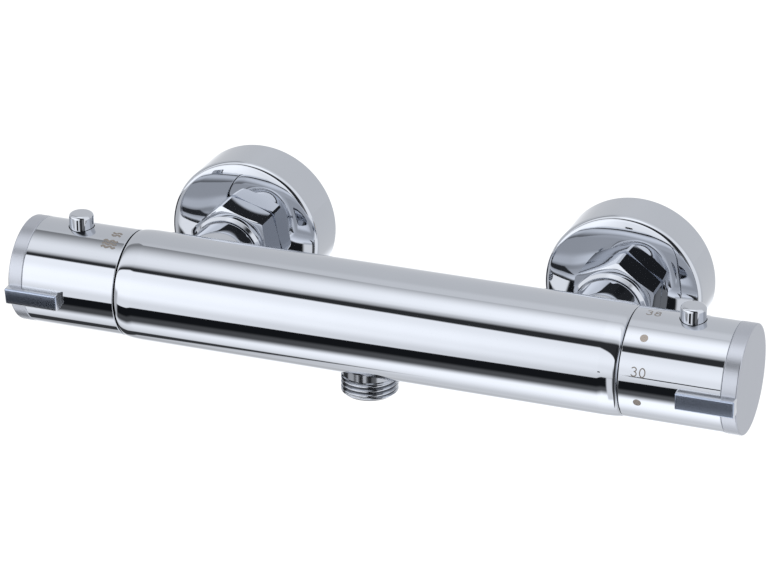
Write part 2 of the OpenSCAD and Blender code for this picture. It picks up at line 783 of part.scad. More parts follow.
module end_cap(side) {
    spigot_r = sleeve_in_r - fix_gap;
    spigot_x0 = sleeve_x1 - cap_spigot_len;
    outline = [
        [0, cap_x1 - cap_face_t], [cap_bore_r, cap_x1 - cap_face_t], [cap_bore_r, spigot_x0],
        [spigot_r - edge, spigot_x0], [spigot_r, spigot_x0 + edge], [spigot_r, sleeve_x1],
        [handle_r - edge, sleeve_x1], [handle_r, sleeve_x1 + edge], [handle_r, cap_x1 - cap_edge],
        [handle_r - cap_edge, cap_x1], [0, cap_x1]];
    color("silver") handle_frame(side) turned(outline);
}

// The two pegs that hold a fin on its sleeve, with room of an extra depth
module fin_pegs(fin_angle, r, room) {
    for (share = fin_peg_places_share)
        rotate([fin_angle, 0, 0]) translate([cap_x1 - fin_len * (1 - share), 0, 0]) rotate([90, 0, 0])
            translate([0, 0, handle_r - fin_peg_depth - room])
                cylinder(h = fin_peg_depth + fin_h / 4, r = r);
}

module handle_fin(side, fin_angle) {
    // Outline of the fin's section: reach from the axis, and height
    top = fin_h / 2;
    section = [
        [handle_r / 2, -top], [fin_reach - fin_chamfer, -top], [fin_reach, -top + fin_chamfer],
        [fin_reach, top - fin_chamfer], [fin_reach - fin_chamfer, top], [handle_r / 2, top]];
    color("slategray") handle_frame(side) union() {
        difference() {
            rotate([fin_angle, 0, 0]) translate([cap_x1 - fin_len, 0, 0]) rotate([90, 0, 90])
                mirror([1, 0, 0]) linear_extrude(fin_len) polygon(section);
            rod_x(sleeve_x0, cap_x1 + cut, handle_r + fix_gap);
        }
        difference() {
            fin_pegs(fin_angle, fin_peg_r, 0);
            rod_x(sleeve_x0, sleeve_x1, handle_r - fin_peg_depth);
        }
    }
}

module handle_hub(side) {
    color("slategray") handle_frame(side) difference() {
        union() {
            rod_x(hub_x0, hub_x1, hub_r);
            sector_x(hub_x0 - rib_len, hub_x0 + edge, stop_lug_r, rib_in_r, top_angle,
                rib_half_angle);
        }
        translate([hub_x0 - cut, 0, 0]) rotate([0, 90, 0])
            linear_extrude(hub_len - hub_web_t + cut) spline_outline(spline_r + fix_gap);
        rod_x(hub_x0, hub_x1 + cut, screw_r + 2 * fix_gap);
        translate([button_x, 0, button_pocket_floor])
            cylinder(h = hub_r, r = button_lip_r + button_pocket_gap);
        translate([button_x, 0, button_guide_floor])
            cylinder(h = hub_r, r = button_stem_r + run_gap);
    }
}

module push_button(side) {
    round_centre = [button_r - button_round, button_top - button_round];
    outline = concat(
        [[0, button_stem_bottom], [button_stem_r, button_stem_bottom],
            [button_stem_r, button_lip_bottom], [button_lip_r, button_lip_bottom],
            [button_lip_r, button_lip_top], [button_r, button_lip_top]],
        arc_points(round_centre, button_round, 0, 90, edge_steps),
        [[0, button_top]]);
    color("gainsboro") handle_frame(side) translate([button_x, 0, 0])
        rotate_extrude() polygon(outline);
}

module button_spring(side) {
    color("darkgray") handle_frame(side) translate([button_x, 0, 0])
        coil_spring(button_pocket_floor, button_lip_bottom, button_spring_r, button_wire_r,
            button_spring_turns);
}

module handle_screw(side) {
    color("darkgray") handle_frame(side) difference() {
        union() {
            rod_x(hub_x1, screw_x1, screw_head_r);
            rod_x(hub_x1 - screw_len, hub_x1 + edge, screw_r);
        }
        translate([screw_x1 - screw_slot_d, -screw_head_r - cut, -screw_slot_w / 2])
            cube([screw_slot_d + cut, 2 * (screw_head_r + cut), screw_slot_w]);
    }
}

// Ring with the lug that ends the travel of a handle's rib
module stop_ring(side, back_turn, forward_turn) {
    free = rib_half_angle + stop_margin_angle;
    lug_half = 180 - (back_turn + forward_turn) / 2 - free;
    lug_mid = top_angle - forward_turn - free - lug_half;
    color("slategray") handle_frame(side) union() {
        ring_x(stop_x0, stop_x0 + stop_ring_t, stop_ring_r, neck_out_r + fix_gap);
        sector_x(stop_x0, stop_x0 + stop_lug_len, stop_lug_r, stop_ring_r - edge, lug_mid, lug_half);
    }
}

// Ring that screws into the mouth of a cavity and holds its cartridge
module lock_nut(side, out_r, in_r) {
    color("goldenrod") handle_frame(side) difference() {
        ring_x(body_half_len - lock_nut_len, body_half_len, out_r, in_r);
        for (i = [0:3]) rotate([90 * i, 0, 0])
            translate([body_half_len - lock_notch_d, -lock_notch_w / 2, in_r - cut])
                cube([lock_notch_d + cut, lock_notch_w, out_r]);
    }
}

// Splined end of a spindle, with the hole for the handle's screw
module spindle_end(shaft_x0) {
    difference() {
        union() {
            rod_x(shaft_x0, spline_x0, spindle_r);
            translate([spline_x0 - edge, 0, 0]) rotate([0, 90, 0])
                linear_extrude(spline_len + edge) spline_outline(spline_r);
        }
        rod_x(hub_x1 - screw_len - cut, spindle_x1 + cut, screw_r + fix_gap);
        o_ring_x(body_half_len, spindle_r - spindle_seal_wire, spindle_seal_wire + run_gap);
    }
}

module spindle_seal(side) {
    color("dimgray") handle_frame(side)
        o_ring_x(body_half_len, spindle_r - spindle_seal_wire, spindle_seal_wire);
}

// Thermostatic cartridge

module radial_windows(x0, x1, count) {
    for (i = [0:count - 1]) rotate([360 * i / count, 0, 0])
        translate([x0, -window_w / 2, 0]) cube([x1 - x0, window_w, thermo_r + cut]);
}

// Middles of the three seals round the cartridge
function thermo_seal_places() = [
    thermo_x0 + thermo_land_len / 2 + edge,
    (land_x0 + land_x1) / 2,
    thermo_shoulder_x - thermo_land_len / 2];

module thermostat_housing() {
    land0 = thermo_x0 + hot_land_len;
    last_land = thermo_shoulder_x - thermo_land_len;
    outline = [
        [thermo_end_hole_r, thermo_x0], [thermo_r, thermo_x0], [thermo_r, land0], [groove_r, land0],
        [groove_r, land_x0], [thermo_r, land_x0], [thermo_r, land_x1], [groove_r, land_x1],
        [groove_r, last_land], [thermo_r, last_land], [thermo_r, thermo_shoulder_x],
        [thermo_cavity_r - lock_nut_wall - fix_gap, thermo_shoulder_x],
        [thermo_cavity_r - lock_nut_wall - fix_gap, body_half_len + edge],
        [neck_out_r, body_half_len + edge], [neck_out_r, neck_x1], [spindle_r + run_gap, neck_x1],
        [spindle_r + run_gap, thermo_neck_wall_x], [spindle_collar_r + run_gap, thermo_neck_wall_x],
        [spindle_collar_r + run_gap, thermo_bore_x1], [thermo_bore_r, thermo_bore_x1],
        [thermo_bore_r, hot_seat_x], [seat_in_r, hot_seat_x], [seat_in_r, hot_seat_x - seat_t],
        [thermo_bore_r, hot_seat_x - seat_t], [thermo_bore_r, thermo_x0 + thermo_end_t],
        [thermo_end_hole_r, thermo_x0 + thermo_end_t]];
    key_x0 = cold_seat_x + 2 * seat_t;
    key_x1 = thermo_bore_x1 + edge;
    color("ivory") handle_frame(1) union() {
        difference() {
            turned(outline);
            radial_windows(hot_seat_x, hot_seat_x + window_len, window_count);
            radial_windows(cold_seat_x - window_len, cold_seat_x, window_count);
            for (x = thermo_seal_places()) o_ring_x(x, thermo_cavity_r - seal_wire - run_gap,
                seal_wire + run_gap);
        }
        // Two keys that stop the adjusting nut from turning
        for (i = [0, 1]) rotate([180 * i, 0, 0])
            translate([key_x0, -key_w / 2, key_in_r])
                cube([key_x1 - key_x0, key_w, key_h + key_root]);
    }
}

module thermostat_seals() {
    color("dimgray") handle_frame(1)
        for (x = thermo_seal_places()) o_ring_x(x, thermo_cavity_r - seal_wire - run_gap, seal_wire);
}

module cold_seat() {
    color("silver") handle_frame(1)
        ring_x(cold_seat_x, cold_seat_x + seat_t, thermo_bore_r - fix_gap, cold_seat_in_r);
}

module spool() {
    web_x1 = spool_web_x + spool_web_t;
    mid = spool_x0 + spool_len / 2;
    outline = [
        [spool_in_r, spool_x0], [spool_r, spool_x0], [spool_r, spool_x1], [spool_in_r, spool_x1],
        [spool_in_r, web_x1], [bulb_r + fix_gap, web_x1], [bulb_r + fix_gap, spool_web_x],
        [spool_in_r, spool_web_x]];
    hole_place = (spool_in_r + return_r) / 2;
    hole_r = spool_hole_share * (spool_in_r - return_r);
    color("burlywood") handle_frame(1) difference() {
        turned(outline);
        o_ring_x(mid, spool_r - seal_wire / 2, seal_wire / 2 + run_gap / 2);
        for (i = [0:spool_holes - 1]) rotate([360 * i / spool_holes, 0, 0])
            translate([spool_web_x - cut, 0, hole_place]) rotate([0, 90, 0])
                cylinder(h = spool_web_t + 2 * cut, r = hole_r);
    }
}

module spool_seal() {
    color("dimgray") handle_frame(1)
        o_ring_x(spool_x0 + spool_len / 2, spool_r - seal_wire / 2, seal_wire / 2);
}

module wax_element() {
    flange_x0 = spool_web_x + spool_web_t;
    flange_x1 = flange_x0 + bulb_flange_t;
    neck_x = flange_x1 + bulb_neck_len;
    bulb_x0 = flange_x0 - bulb_len;
    outline = concat(
        [[0, bulb_x0]],
        arc_points([bulb_r - bulb_round, bulb_x0 + bulb_round], bulb_round, -90, 0, edge_steps),
        [[bulb_r, flange_x0], [bulb_flange_r, flange_x0], [bulb_flange_r, flange_x1],
            [bulb_neck_r, flange_x1], [bulb_neck_r, neck_x], [piston_r, neck_x],
            [piston_r, piston_cap_x], [0, piston_cap_x]]);
    color("peru") handle_frame(1) turned(outline);
}

module return_spring() {
    color("darkgray") handle_frame(1) rotate([0, 90, 0])
        coil_spring(thermo_x0 + thermo_end_t, spool_web_x, return_r, return_wire_r, return_turns);
}

module piston_cap() {
    color("silver") handle_frame(1) rod_x(piston_cap_x, piston_cap_x + piston_cap_t, piston_cap_r);
}

module adjusting_nut() {
    nut_x1 = piston_cap_x + nut_len;
    cup_x1 = piston_cap_x + piston_cap_t + nut_cup_len;
    out_r = thermo_bore_r - nut_gap;
    outline = [
        [nut_cup_r, piston_cap_x], [out_r, piston_cap_x], [out_r, nut_x1],
        [thermo_thread_r + run_gap, nut_x1], [thermo_thread_r + run_gap, cup_x1],
        [nut_cup_r, cup_x1]];
    color("goldenrod") handle_frame(1) difference() {
        turned(outline);
        for (i = [0, 1]) rotate([180 * i, 0, 0])
            translate([piston_cap_x - cut, -key_w / 2 - key_gap, key_in_r - key_gap])
                cube([nut_len + 2 * cut, key_w + 2 * key_gap, thermo_r]);
    }
}

module overtravel_spring() {
    color("darkgray") handle_frame(1) rotate([0, 90, 0])
        coil_spring(piston_cap_x + piston_cap_t, piston_cap_x + piston_cap_t + nut_cup_len,
            over_r, over_wire_r, over_turns);
}

module temperature_spindle() {
    collar_x1 = thermo_neck_wall_x - run_gap;
    collar_x0 = collar_x1 - spindle_collar_t;
    thread_x0 = piston_cap_x + piston_cap_t + thermo_thread_end_gap;
    color("goldenrod") handle_frame(1) union() {
        rod_x(thread_x0, collar_x0 + edge, thermo_thread_r);
        rod_x(collar_x0, collar_x1, spindle_collar_r);
        spindle_end(collar_x1 - edge);
    }
}

// Flow headwork

module flow_headwork() {
    land0 = flow_x0 + land_len;
    shoulder = body_half_len - lock_nut_len;
    last_land = shoulder - land_len;
    outline = [
        [disc_bore_r, disc_x0], [flow_r, disc_x0], [flow_r, land0], [flow_groove_r, land0],
        [flow_groove_r, last_land], [flow_r, last_land], [flow_r, shoulder],
        [flow_cavity_r - lock_nut_wall - fix_gap, shoulder],
        [flow_cavity_r - lock_nut_wall - fix_gap, body_half_len + edge],
        [neck_out_r, body_half_len + edge], [neck_out_r, neck_x1], [spindle_r + run_gap, neck_x1],
        [spindle_r + run_gap, flow_bore_x1], [disc_bore_r, flow_bore_x1]];
    color("goldenrod") handle_frame(-1) difference() {
        turned(outline);
        radial_windows(flow_bore_x1 - flow_window_len, flow_bore_x1, flow_window_count);
        for (x = flow_seal_places()) o_ring_x(x, flow_cavity_r - seal_wire - run_gap,
            seal_wire + run_gap);
    }
}

// Middles of the two seals round the headwork
function flow_seal_places() = [
    flow_x0 + seat_seal_t + (land_len - seat_seal_t) / 2,
    body_half_len - lock_nut_len - land_len / 2];

module flow_seals() {
    color("dimgray") handle_frame(-1)
        for (x = flow_seal_places()) o_ring_x(x, flow_cavity_r - seal_wire - run_gap, seal_wire);
}

module flow_seat_seal() {
    color("dimgray") handle_frame(-1)
        ring_x(flow_x0, disc_x0, seat_seal_out_r, seat_seal_in_r);
}

// Ceramic disc with two opposite ports, whose middles lie at an angle up from the front
module ceramic_disc(x0, mid) {
    difference() {
        rod_x(x0, x0 + disc_t, disc_r);
        for (turn = [0, 180])
            sector_x(x0 - cut, x0 + disc_t + cut, disc_port_out_r, disc_port_in_r, mid + turn,
                disc_port_half_angle);
    }
}

module fixed_disc() {
    color("white") handle_frame(-1) ceramic_disc(disc_x0, top_angle);
}

module moving_disc() {
    color("linen") handle_frame(-1) difference() {
        ceramic_disc(disc2_x0, 0);
        driver_dogs(run_gap, cut);
    }
}

// The two dogs that turn the moving disc
module driver_dogs(room, over) {
    for (turn = [0, 180]) rotate([turn, 0, 0])
        translate([driver_x0 - driver_dog_t - room, -driver_dog_w / 2 - room,
            disc_port_in_r + edge - room])
            cube([driver_dog_t + room + over, driver_dog_w + 2 * room,
                driver_dog_r - disc_port_in_r - edge + 2 * room]);
}

module flow_spindle() {
    driver_x1 = driver_x0 + driver_t;
    color("goldenrod") handle_frame(-1) union() {
        difference() {
            rod_x(driver_x0, driver_x1, disc_r);
            for (turn = [0, 180]) sector_x(driver_x0 - cut, driver_x1 + cut, disc_r + cut,
                spindle_r, turn, disc_port_half_angle);
        }
        driver_dogs(0, edge);
        spindle_end(driver_x1 - edge);
    }
}

bar_body();
outlet_nipple();
outlet_seal();
union_nut(-1);  // hot_union_nut
union_nut(1);  // cold_union_nut
inlet_nipple(-1);  // hot_inlet_nipple
inlet_nipple(1);  // cold_inlet_nipple
inlet_washer(-1);  // hot_washer
inlet_washer(1);  // cold_washer
strainer(-1);  // hot_strainer
strainer(1);  // cold_strainer
check_housing(-1);  // hot_check_housing
check_housing(1);  // cold_check_housing
poppet(-1);  // hot_poppet
poppet(1);  // cold_poppet
poppet_spring(-1);  // hot_poppet_spring
poppet_spring(1);  // cold_poppet_spring
wall_union(-1);  // hot_wall_union
wall_union(1);  // cold_wall_union
wall_flange(-1);  // hot_flange
wall_flange(1);  // cold_flange
flow_headwork();
lock_nut(-1, flow_cavity_r - fix_gap, flow_cavity_r - lock_nut_wall);  // flow_lock_nut
flow_seals();
flow_seat_seal();
fixed_disc();
moving_disc();
stop_ring(-1, flow_turn, 0);  // flow_stop_ring
flow_spindle();
spindle_seal(-1);  // flow_spindle_seal
handle_hub(-1);  // flow_hub
handle_screw(-1);  // flow_screw
handle_sleeve(-1, flow_fin_angle);  // flow_sleeve
end_cap(-1);  // flow_end_cap
handle_fin(-1, flow_fin_angle);  // flow_fin
push_button(-1);  // eco_button
button_spring(-1);  // eco_spring
thermostat_housing();
lock_nut(1, thermo_cavity_r - fix_gap, thermo_cavity_r - lock_nut_wall);  // thermostat_lock_nut
thermostat_seals();
cold_seat();
spool();
spool_seal();
wax_element();
return_spring();
adjusting_nut();
overtravel_spring();
piston_cap();
stop_ring(1, cold_turn, hot_turn);  // temperature_stop_ring
temperature_spindle();
spindle_seal(1);  // temperature_spindle_seal
handle_hub(1);  // temperature_hub
handle_screw(1);  // temperature_screw
handle_sleeve(1, temperature_fin_angle);  // temperature_sleeve
end_cap(1);  // temperature_end_cap
handle_fin(1, temperature_fin_angle);  // temperature_fin
push_button(1);  // safety_button
button_spring(1);  // safety_spring
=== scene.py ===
"""Dressed model of the wall mounted thermostatic shower valve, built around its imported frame.

Lengths in the classes are in millimetres and are turned into metres when a mesh is made. The bar's
axis lies along x, at y = AXIS_Y and z = 0; the wall is the plane y = 0 and the front faces -y.
"""
import json
import logging
import math
from dataclasses import dataclass, field, replace
from enum import Enum
from typing import Any, Optional, Sequence, Union

import bmesh
import bpy
import numpy as np
from mathutils import Matrix, Vector


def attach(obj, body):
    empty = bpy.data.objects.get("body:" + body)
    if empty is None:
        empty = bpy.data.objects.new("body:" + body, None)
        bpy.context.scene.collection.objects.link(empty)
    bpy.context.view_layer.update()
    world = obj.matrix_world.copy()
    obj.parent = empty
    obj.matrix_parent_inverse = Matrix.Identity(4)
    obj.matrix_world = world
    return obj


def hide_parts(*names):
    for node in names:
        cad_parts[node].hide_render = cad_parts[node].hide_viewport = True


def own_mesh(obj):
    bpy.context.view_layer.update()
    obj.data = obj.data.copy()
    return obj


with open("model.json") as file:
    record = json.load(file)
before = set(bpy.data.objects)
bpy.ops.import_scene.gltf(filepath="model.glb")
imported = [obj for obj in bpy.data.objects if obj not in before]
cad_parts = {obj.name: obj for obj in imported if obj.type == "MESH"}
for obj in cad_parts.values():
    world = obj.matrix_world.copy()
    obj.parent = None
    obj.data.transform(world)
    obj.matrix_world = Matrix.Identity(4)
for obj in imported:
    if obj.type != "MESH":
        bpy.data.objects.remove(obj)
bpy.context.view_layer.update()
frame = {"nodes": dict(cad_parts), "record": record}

LOG = logging.getLogger("valve")
MM = 0.001
AXIS_Y = -72.8  # the bar's axis, in front of the wall
INLET_X = 75.0  # how far each inlet lies from the middle of the bar
OUTLET_X = -3.2  # the outlet's place along the bar
WATER_R = 7.0  # radius of the waterways
FULL_TURN = 2 * math.pi
MERGE_M = 1e-6  # distance in metres at which two points are one
HOLD = 0.12  # distance from an arc to the points beside it that hold its smooth shading
EDGE_TURN = np.linspace(0, math.pi / 2, 6)  # angles along a small rounded edge
Pair = tuple[float, float]
Triple = tuple[float, float, float]
Grid = Union[float, np.ndarray]


class Side(Enum):
    """The two ends of the valve, seen from the front."""

    LEFT = -1
    RIGHT = 1

    @property
    def handle(self) -> str:
        """Names the handle on this side."""
        return "flow" if self is Side.LEFT else "temperature"

    @property
    def button(self) -> str:
        """Names the push button on this side."""
        return "eco" if self is Side.LEFT else "safety"

    @property
    def inlet(self) -> str:
        """Names the water that comes in on this side."""
        return "hot" if self is Side.LEFT else "cold"


class Wire:
    """An output socket of a node tree that takes part in arithmetic."""

    def __init__(self, tree: "Tree", socket: bpy.types.NodeSocket) -> None:
        """Keeps the tree and the socket."""
        self.tree = tree
        self.socket = socket

    def out(self, name: str) -> "Wire":
        """Gives another output of the same node."""
        return Wire(self.tree, self.socket.node.outputs[name])

    def math(self, operation: str, *others: "Value") -> "Wire":
        """Adds a Math node that takes this wire first."""
        values = dict(enumerate((self, *others)))
        return self.tree.add("ShaderNodeMath", {"operation": operation}, values)

    def __add__(self, other: "Value") -> "Wire":
        """Adds."""
        return self.math("ADD", other)

    __radd__ = __add__

    def __sub__(self, other: "Value") -> "Wire":
        """Subtracts."""
        return self.math("SUBTRACT", other)

    def __rsub__(self, other: "Value") -> "Wire":
        """Subtracts this wire from a number."""
        return (self * -1.0) + other

    def __mul__(self, other: "Value") -> "Wire":
        """Multiplies."""
        return self.math("MULTIPLY", other)

    __rmul__ = __mul__


Value = Union[Wire, float, Sequence[float]]


class Tree:
    """A node tree that is written as expressions."""

    def __init__(self, owner: Any) -> None:
        """Takes a material or world and empties its tree.

        Args:
            owner: The material or world.
        """
        owner.use_nodes = True
        self.nodes = owner.node_tree.nodes
        self.links = owner.node_tree.links
        self.nodes.clear()

    def add(self, kind: str, settings: Optional[dict[str, Any]] = None,
            values: Optional[dict[Union[int, str], Value]] = None,
            output: Union[int, str] = 0) -> Wire:
        """Adds one node.

        Args:
            kind: The node's type.
            settings: Its properties, set first.
            values: Numbers or wires for its input sockets, by name or index.
            output: The output that is returned.

        Returns:
            The wire of that output; a node without one gives its first input.
        """
        node = self.nodes.new(kind)
        for name, setting in (settings or {}).items():
            setattr(node, name, setting)
        for key, value in (values or {}).items():
            if isinstance(value, Wire):
                self.links.new(value.socket, node.inputs[key])
            else:
                node.inputs[key].default_value = value
        outputs = node.outputs
        return Wire(self, outputs[output]) if len(outputs) else Wire(self, node.inputs[0])

    def place(self) -> Wire:
        """Gives the point of the surface in the object's own space, in metres."""
        return self.add("ShaderNodeTexCoord", output="Object")

    def parts(self, vector: Wire) -> tuple[Wire, Wire, Wire]:
        """Splits a vector.

        Args:
            vector: The wire of the vector.

        Returns:
            The wires of its three parts.
        """
        first = self.add("ShaderNodeSeparateXYZ", values={0: vector})
        return first, first.out("Y"), first.out("Z")

    def noise(self, place: Wire, scale: float, detail: float = 2.0,
              stretch: Triple = (1.0, 1.0, 1.0)) -> Wire:
        """Adds noise.

        Args:
            place: The point of the surface.
            scale: Number of features in a metre.
            detail: Octaves of finer noise.
            stretch: Factors on the three directions.

        Returns:
            The noise, around one half.
        """
        mapped = self.add("ShaderNodeMapping", values={"Vector": place, "Scale": stretch})
        return self.add("ShaderNodeTexNoise",
                        values={"Vector": mapped, "Scale": scale, "Detail": detail})

    def between(self, amount: Value, low: Value, high: Value) -> Wire:
        """Mixes two colours.

        Args:
            amount: The share of the second colour.
            low: The first colour.
            high: The second colour.

        Returns:
            The mixed colour.
        """
        ends = [end if isinstance(end, Wire) else (*end, 1.0) for end in (low, high)]
        return self.add("ShaderNodeMix", {"data_type": "RGBA", "clamp_factor": False},
                        {0: amount, 6: ends[0], 7: ends[1]}, output=2)

    def step(self, value: Value, low: float, high: float, smooth: bool = True) -> Wire:
        """Rises from nought to one while a value goes from one number to another.

        Args:
            value: The value.
            low: The number at nought.
            high: The number at one, which may be the smaller.
            smooth: Whether the rise eases in and out.

        Returns:
            The share.
        """
        kind = "SMOOTHSTEP" if smooth else "LINEAR"
        return self.add("ShaderNodeMapRange", {"interpolation_type": kind},
                        {0: value, 1: low, 2: high, 3: 0.0, 4: 1.0})

    def bump(self, height: Wire, depth: float) -> Wire:
        """Adds relief; depth is in metres, for heights from nought to one."""
        return self.add("ShaderNodeBump",
                        values={"Height": height, "Distance": depth, "Strength": 1.0})


@dataclass(frozen=True)
class Finish:
    """A surface finish of the valve; each kind adds its own pattern."""

    name: str
    slot: str
    colour: Triple
    roughness: float
    metallic: float = 1.0
    spread: float = 0.02

    def shade(self, tree: Tree) -> dict[str, Value]:
        """Builds the pattern and gives the shader's values."""
        raise NotImplementedError

    def material(self) -> bpy.types.Material:
        """Makes the finish's material once and gives it again later.

        Returns:
            The material.
        """
        known = bpy.data.materials.get(self.name)
        if known:
            return known
        material = bpy.data.materials.new(self.name)
        tree = Tree(material)
        values: dict[Union[int, str], Value] = {"Metallic": self.metallic}
        values.update(self.shade(tree))
        shader = tree.add("ShaderNodeBsdfPrincipled", values=values)
        tree.add("ShaderNodeOutputMaterial", values={"Surface": shader})
        return material

    def tones(self) -> list[tuple[float, ...]]:
        """Gives two tones, darker and lighter than the colour by the share named spread."""
        return [tuple(min(part * factor, 1.0) for part in self.colour)
                for factor in (1 - self.spread, 1 + self.spread)]


@dataclass(frozen=True)
class MirrorPlate(Finish):
    """Polished chrome plate, with a faint waviness and a haze of wiping marks."""

    ripple_scale: float = 90.0
    ripple_depth: float = 0.00001
    haze: float = 0.02
    cloud_scale: float = 60.0
    wipe_scale: float = 900.0
    wipe_stretch: Triple = (0.15, 1.0, 1.0)

    def ripple(self, tree: Tree) -> Wire:
        """Bends the mirror with a long, faint ripple."""
        height = tree.noise(tree.place(), self.ripple_scale, 1.0)
        return tree.bump(height, self.ripple_depth)

    def shade(self, tree: Tree) -> dict[str, Value]:
        """Noise moves the roughness and the tone a little.

        Args:
            tree: The material's tree.

        Returns:
            The shader's values.
        """
        place = tree.place()
        cloud = tree.noise(place, self.cloud_scale, 3.0)
        wipe = tree.noise(place, self.wipe_scale, stretch=self.wipe_stretch)
        return {
            "Base Color": tree.between(cloud, *self.tones()),
            "Roughness": self.roughness + (cloud + wipe) * (self.haze / 2),
            "Normal": self.ripple(tree),
        }


@dataclass(frozen=True)
class FinPlate(MirrorPlate):
    """Satin plate of the fins, with a darker front that is a painted dark reflection."""

    front_y: float = -95.2
    fade: float = 0.2
    front_painted_reflection: Triple = (0.46, 0.52, 0.65)

    def shade(self, tree: Tree) -> dict[str, Value]:
        """Whatever lies in front of a plane gets the darker tone of the painted dark reflection.

        Args:
            tree: The material's tree.

        Returns:
            The shader's values.
        """
        values = super().shade(tree)
        _, back, _ = tree.parts(tree.place())
        # painted dark reflection: the fin's front face gets a darker colour
        share = tree.step(back, self.front_y * MM, (self.front_y - self.fade) * MM, smooth=False)
        values["Base Color"] = tree.between(share, self.colour, self.front_painted_reflection)
        return values


@dataclass(frozen=True)
class ThreadPlate(MirrorPlate):
    """Chrome plate of the outlet's thread, with painted shade in its roots, which are also rougher.
    """

    root_r: float = 9.75
    crest_r: float = 10.3
    root_painted_shade: Triple = (0.10, 0.108, 0.125)
    root_haze: float = 0.2

    def shade(self, tree: Tree) -> dict[str, Value]:
        """The painted shade of the roots goes over to the plate's tone by the distance from the
        outlet's line.

        Args:
            tree: The material's tree.

        Returns:
            The shader's values.
        """
        across, back, _ = tree.parts(tree.place())
        across, back = across - OUTLET_X * MM, back - AXIS_Y * MM
        radius = (across * across + back * back).math("SQRT")
        # painted shade: the colour darkens from the crest radius down to the root radius
        share = tree.step(radius, self.root_r * MM, self.crest_r * MM)
        return {
            "Base Color": tree.between(share, self.root_painted_shade, self.colour),
            "Roughness": self.roughness + (1.0 - share) * self.root_haze,
            "Normal": self.ripple(tree),
        }


@dataclass(frozen=True)
class TurnedPlate(Finish):
    """Satin plate with fine turning marks round the bar's axis."""

    line_scale: float = 5200.0
    line_depth: float = 0.0000003
    line_share: float = 0.6
    line_haze: float = 0.05
    cloud_scale: float = 140.0
    cloud_haze: float = 0.03

    def shade(self, tree: Tree) -> dict[str, Value]:
        """Rings depend on the distance from the axis plus the place along it.

        Args:
            tree: The material's tree.

        Returns:
            The shader's values.
        """
        place = tree.place()
        along, back, up = tree.parts(place)
        back = back - AXIS_Y * MM
        radius = (back * back + up * up).math("SQRT")
        ring = radius + along.math("ABSOLUTE")
        spot = tree.add("ShaderNodeCombineXYZ", values={0: ring})
        lines = tree.noise(spot, self.line_scale)
        cloud = tree.noise(place, self.cloud_scale, 3.0)
        tone = lines * self.line_share + cloud * (1 - self.line_share)
        haze = (lines - 0.5) * self.line_haze + (cloud - 0.5) * self.cloud_haze
        return {
            "Base Color": tree.between(tone, *self.tones()),
            "Roughness": self.roughness + haze,
            "Normal": tree.bump(lines, self.line_depth),
        }


@dataclass(frozen=True)
class CutMetal(Finish):
    """Machined metal with fine tool marks and a cloudy tone."""

    mark_scale: float = 2400.0
    mark_stretch: Triple = (1.0, 0.25, 0.25)
    mark_depth: float = 0.0000015
    mark_share: float = 0.3
    mark_haze: float = 0.08
    cloud_scale: float = 110.0
    spread: float = 0.05

    def shade(self, tree: Tree) -> dict[str, Value]:
        """Stretched noise gives tool marks, and slow noise a cloudy tone.

        Args:
            tree: The material's tree.

        Returns:
            The shader's values.
        """
        place = tree.place()
        marks = tree.noise(place, self.mark_scale, stretch=self.mark_stretch)
        cloud = tree.noise(place, self.cloud_scale, 3.0)
        tone = cloud * (1 - self.mark_share) + marks * self.mark_share
        return {
            "Base Color": tree.between(tone, *self.tones()),
            "Roughness": self.roughness + (marks - 0.5) * self.mark_haze,
            "Normal": tree.bump(marks, self.mark_depth),
        }


@dataclass(frozen=True)
class Moulded(Finish):
    """Moulded rubber, plastic or pressed ceramic with a fine grain."""

    grain_scale: float = 2600.0
    grain_depth: float = 0.00001
    grain_haze: float = 0.12
    drift_scale: float = 160.0
    spread: float = 0.1

    def shade(self, tree: Tree) -> dict[str, Value]:
        """Fine noise gives the grain, and slow noise a slight drift of tone.

        Args:
            tree: The material's tree.

        Returns:
            The shader's values.
        """
        place = tree.place()
        grain = tree.noise(place, self.grain_scale, 3.0)
        drift = tree.noise(place, self.drift_scale)
        return {
            "Base Color": tree.between(drift, *self.tones()),
            "Roughness": self.roughness + (grain - 0.5) * self.grain_haze,
            "Normal": tree.bump(grain, self.grain_depth),
        }


CHROME = MirrorPlate("polished_chrome", "chrome", (0.578, 0.600, 0.643), 0.02)
SATIN = TurnedPlate("satin_end_cap", "satin_chrome", (0.50, 0.52, 0.57), 0.30)
# the fins' plate, with a painted dark reflection on their front
FIN_PLATE = FinPlate("fin_plate_painted_front_reflection", "fin_chrome", (0.74, 0.76, 0.80), 0.22)
# the outlet's plate, with painted shade in the roots of its thread
THREAD_PLATE = ThreadPlate("thread_plate_root_shade", "chrome", (0.60, 0.62, 0.66), 0.08)
PRINT = Moulded("dial_print", "grey_plastic", (0.20, 0.18, 0.165), 0.5, 0.0)
PALE_PRINT = Moulded("dial_dot_print", "grey_plastic", (0.34, 0.30, 0.27), 0.45, 0.0)

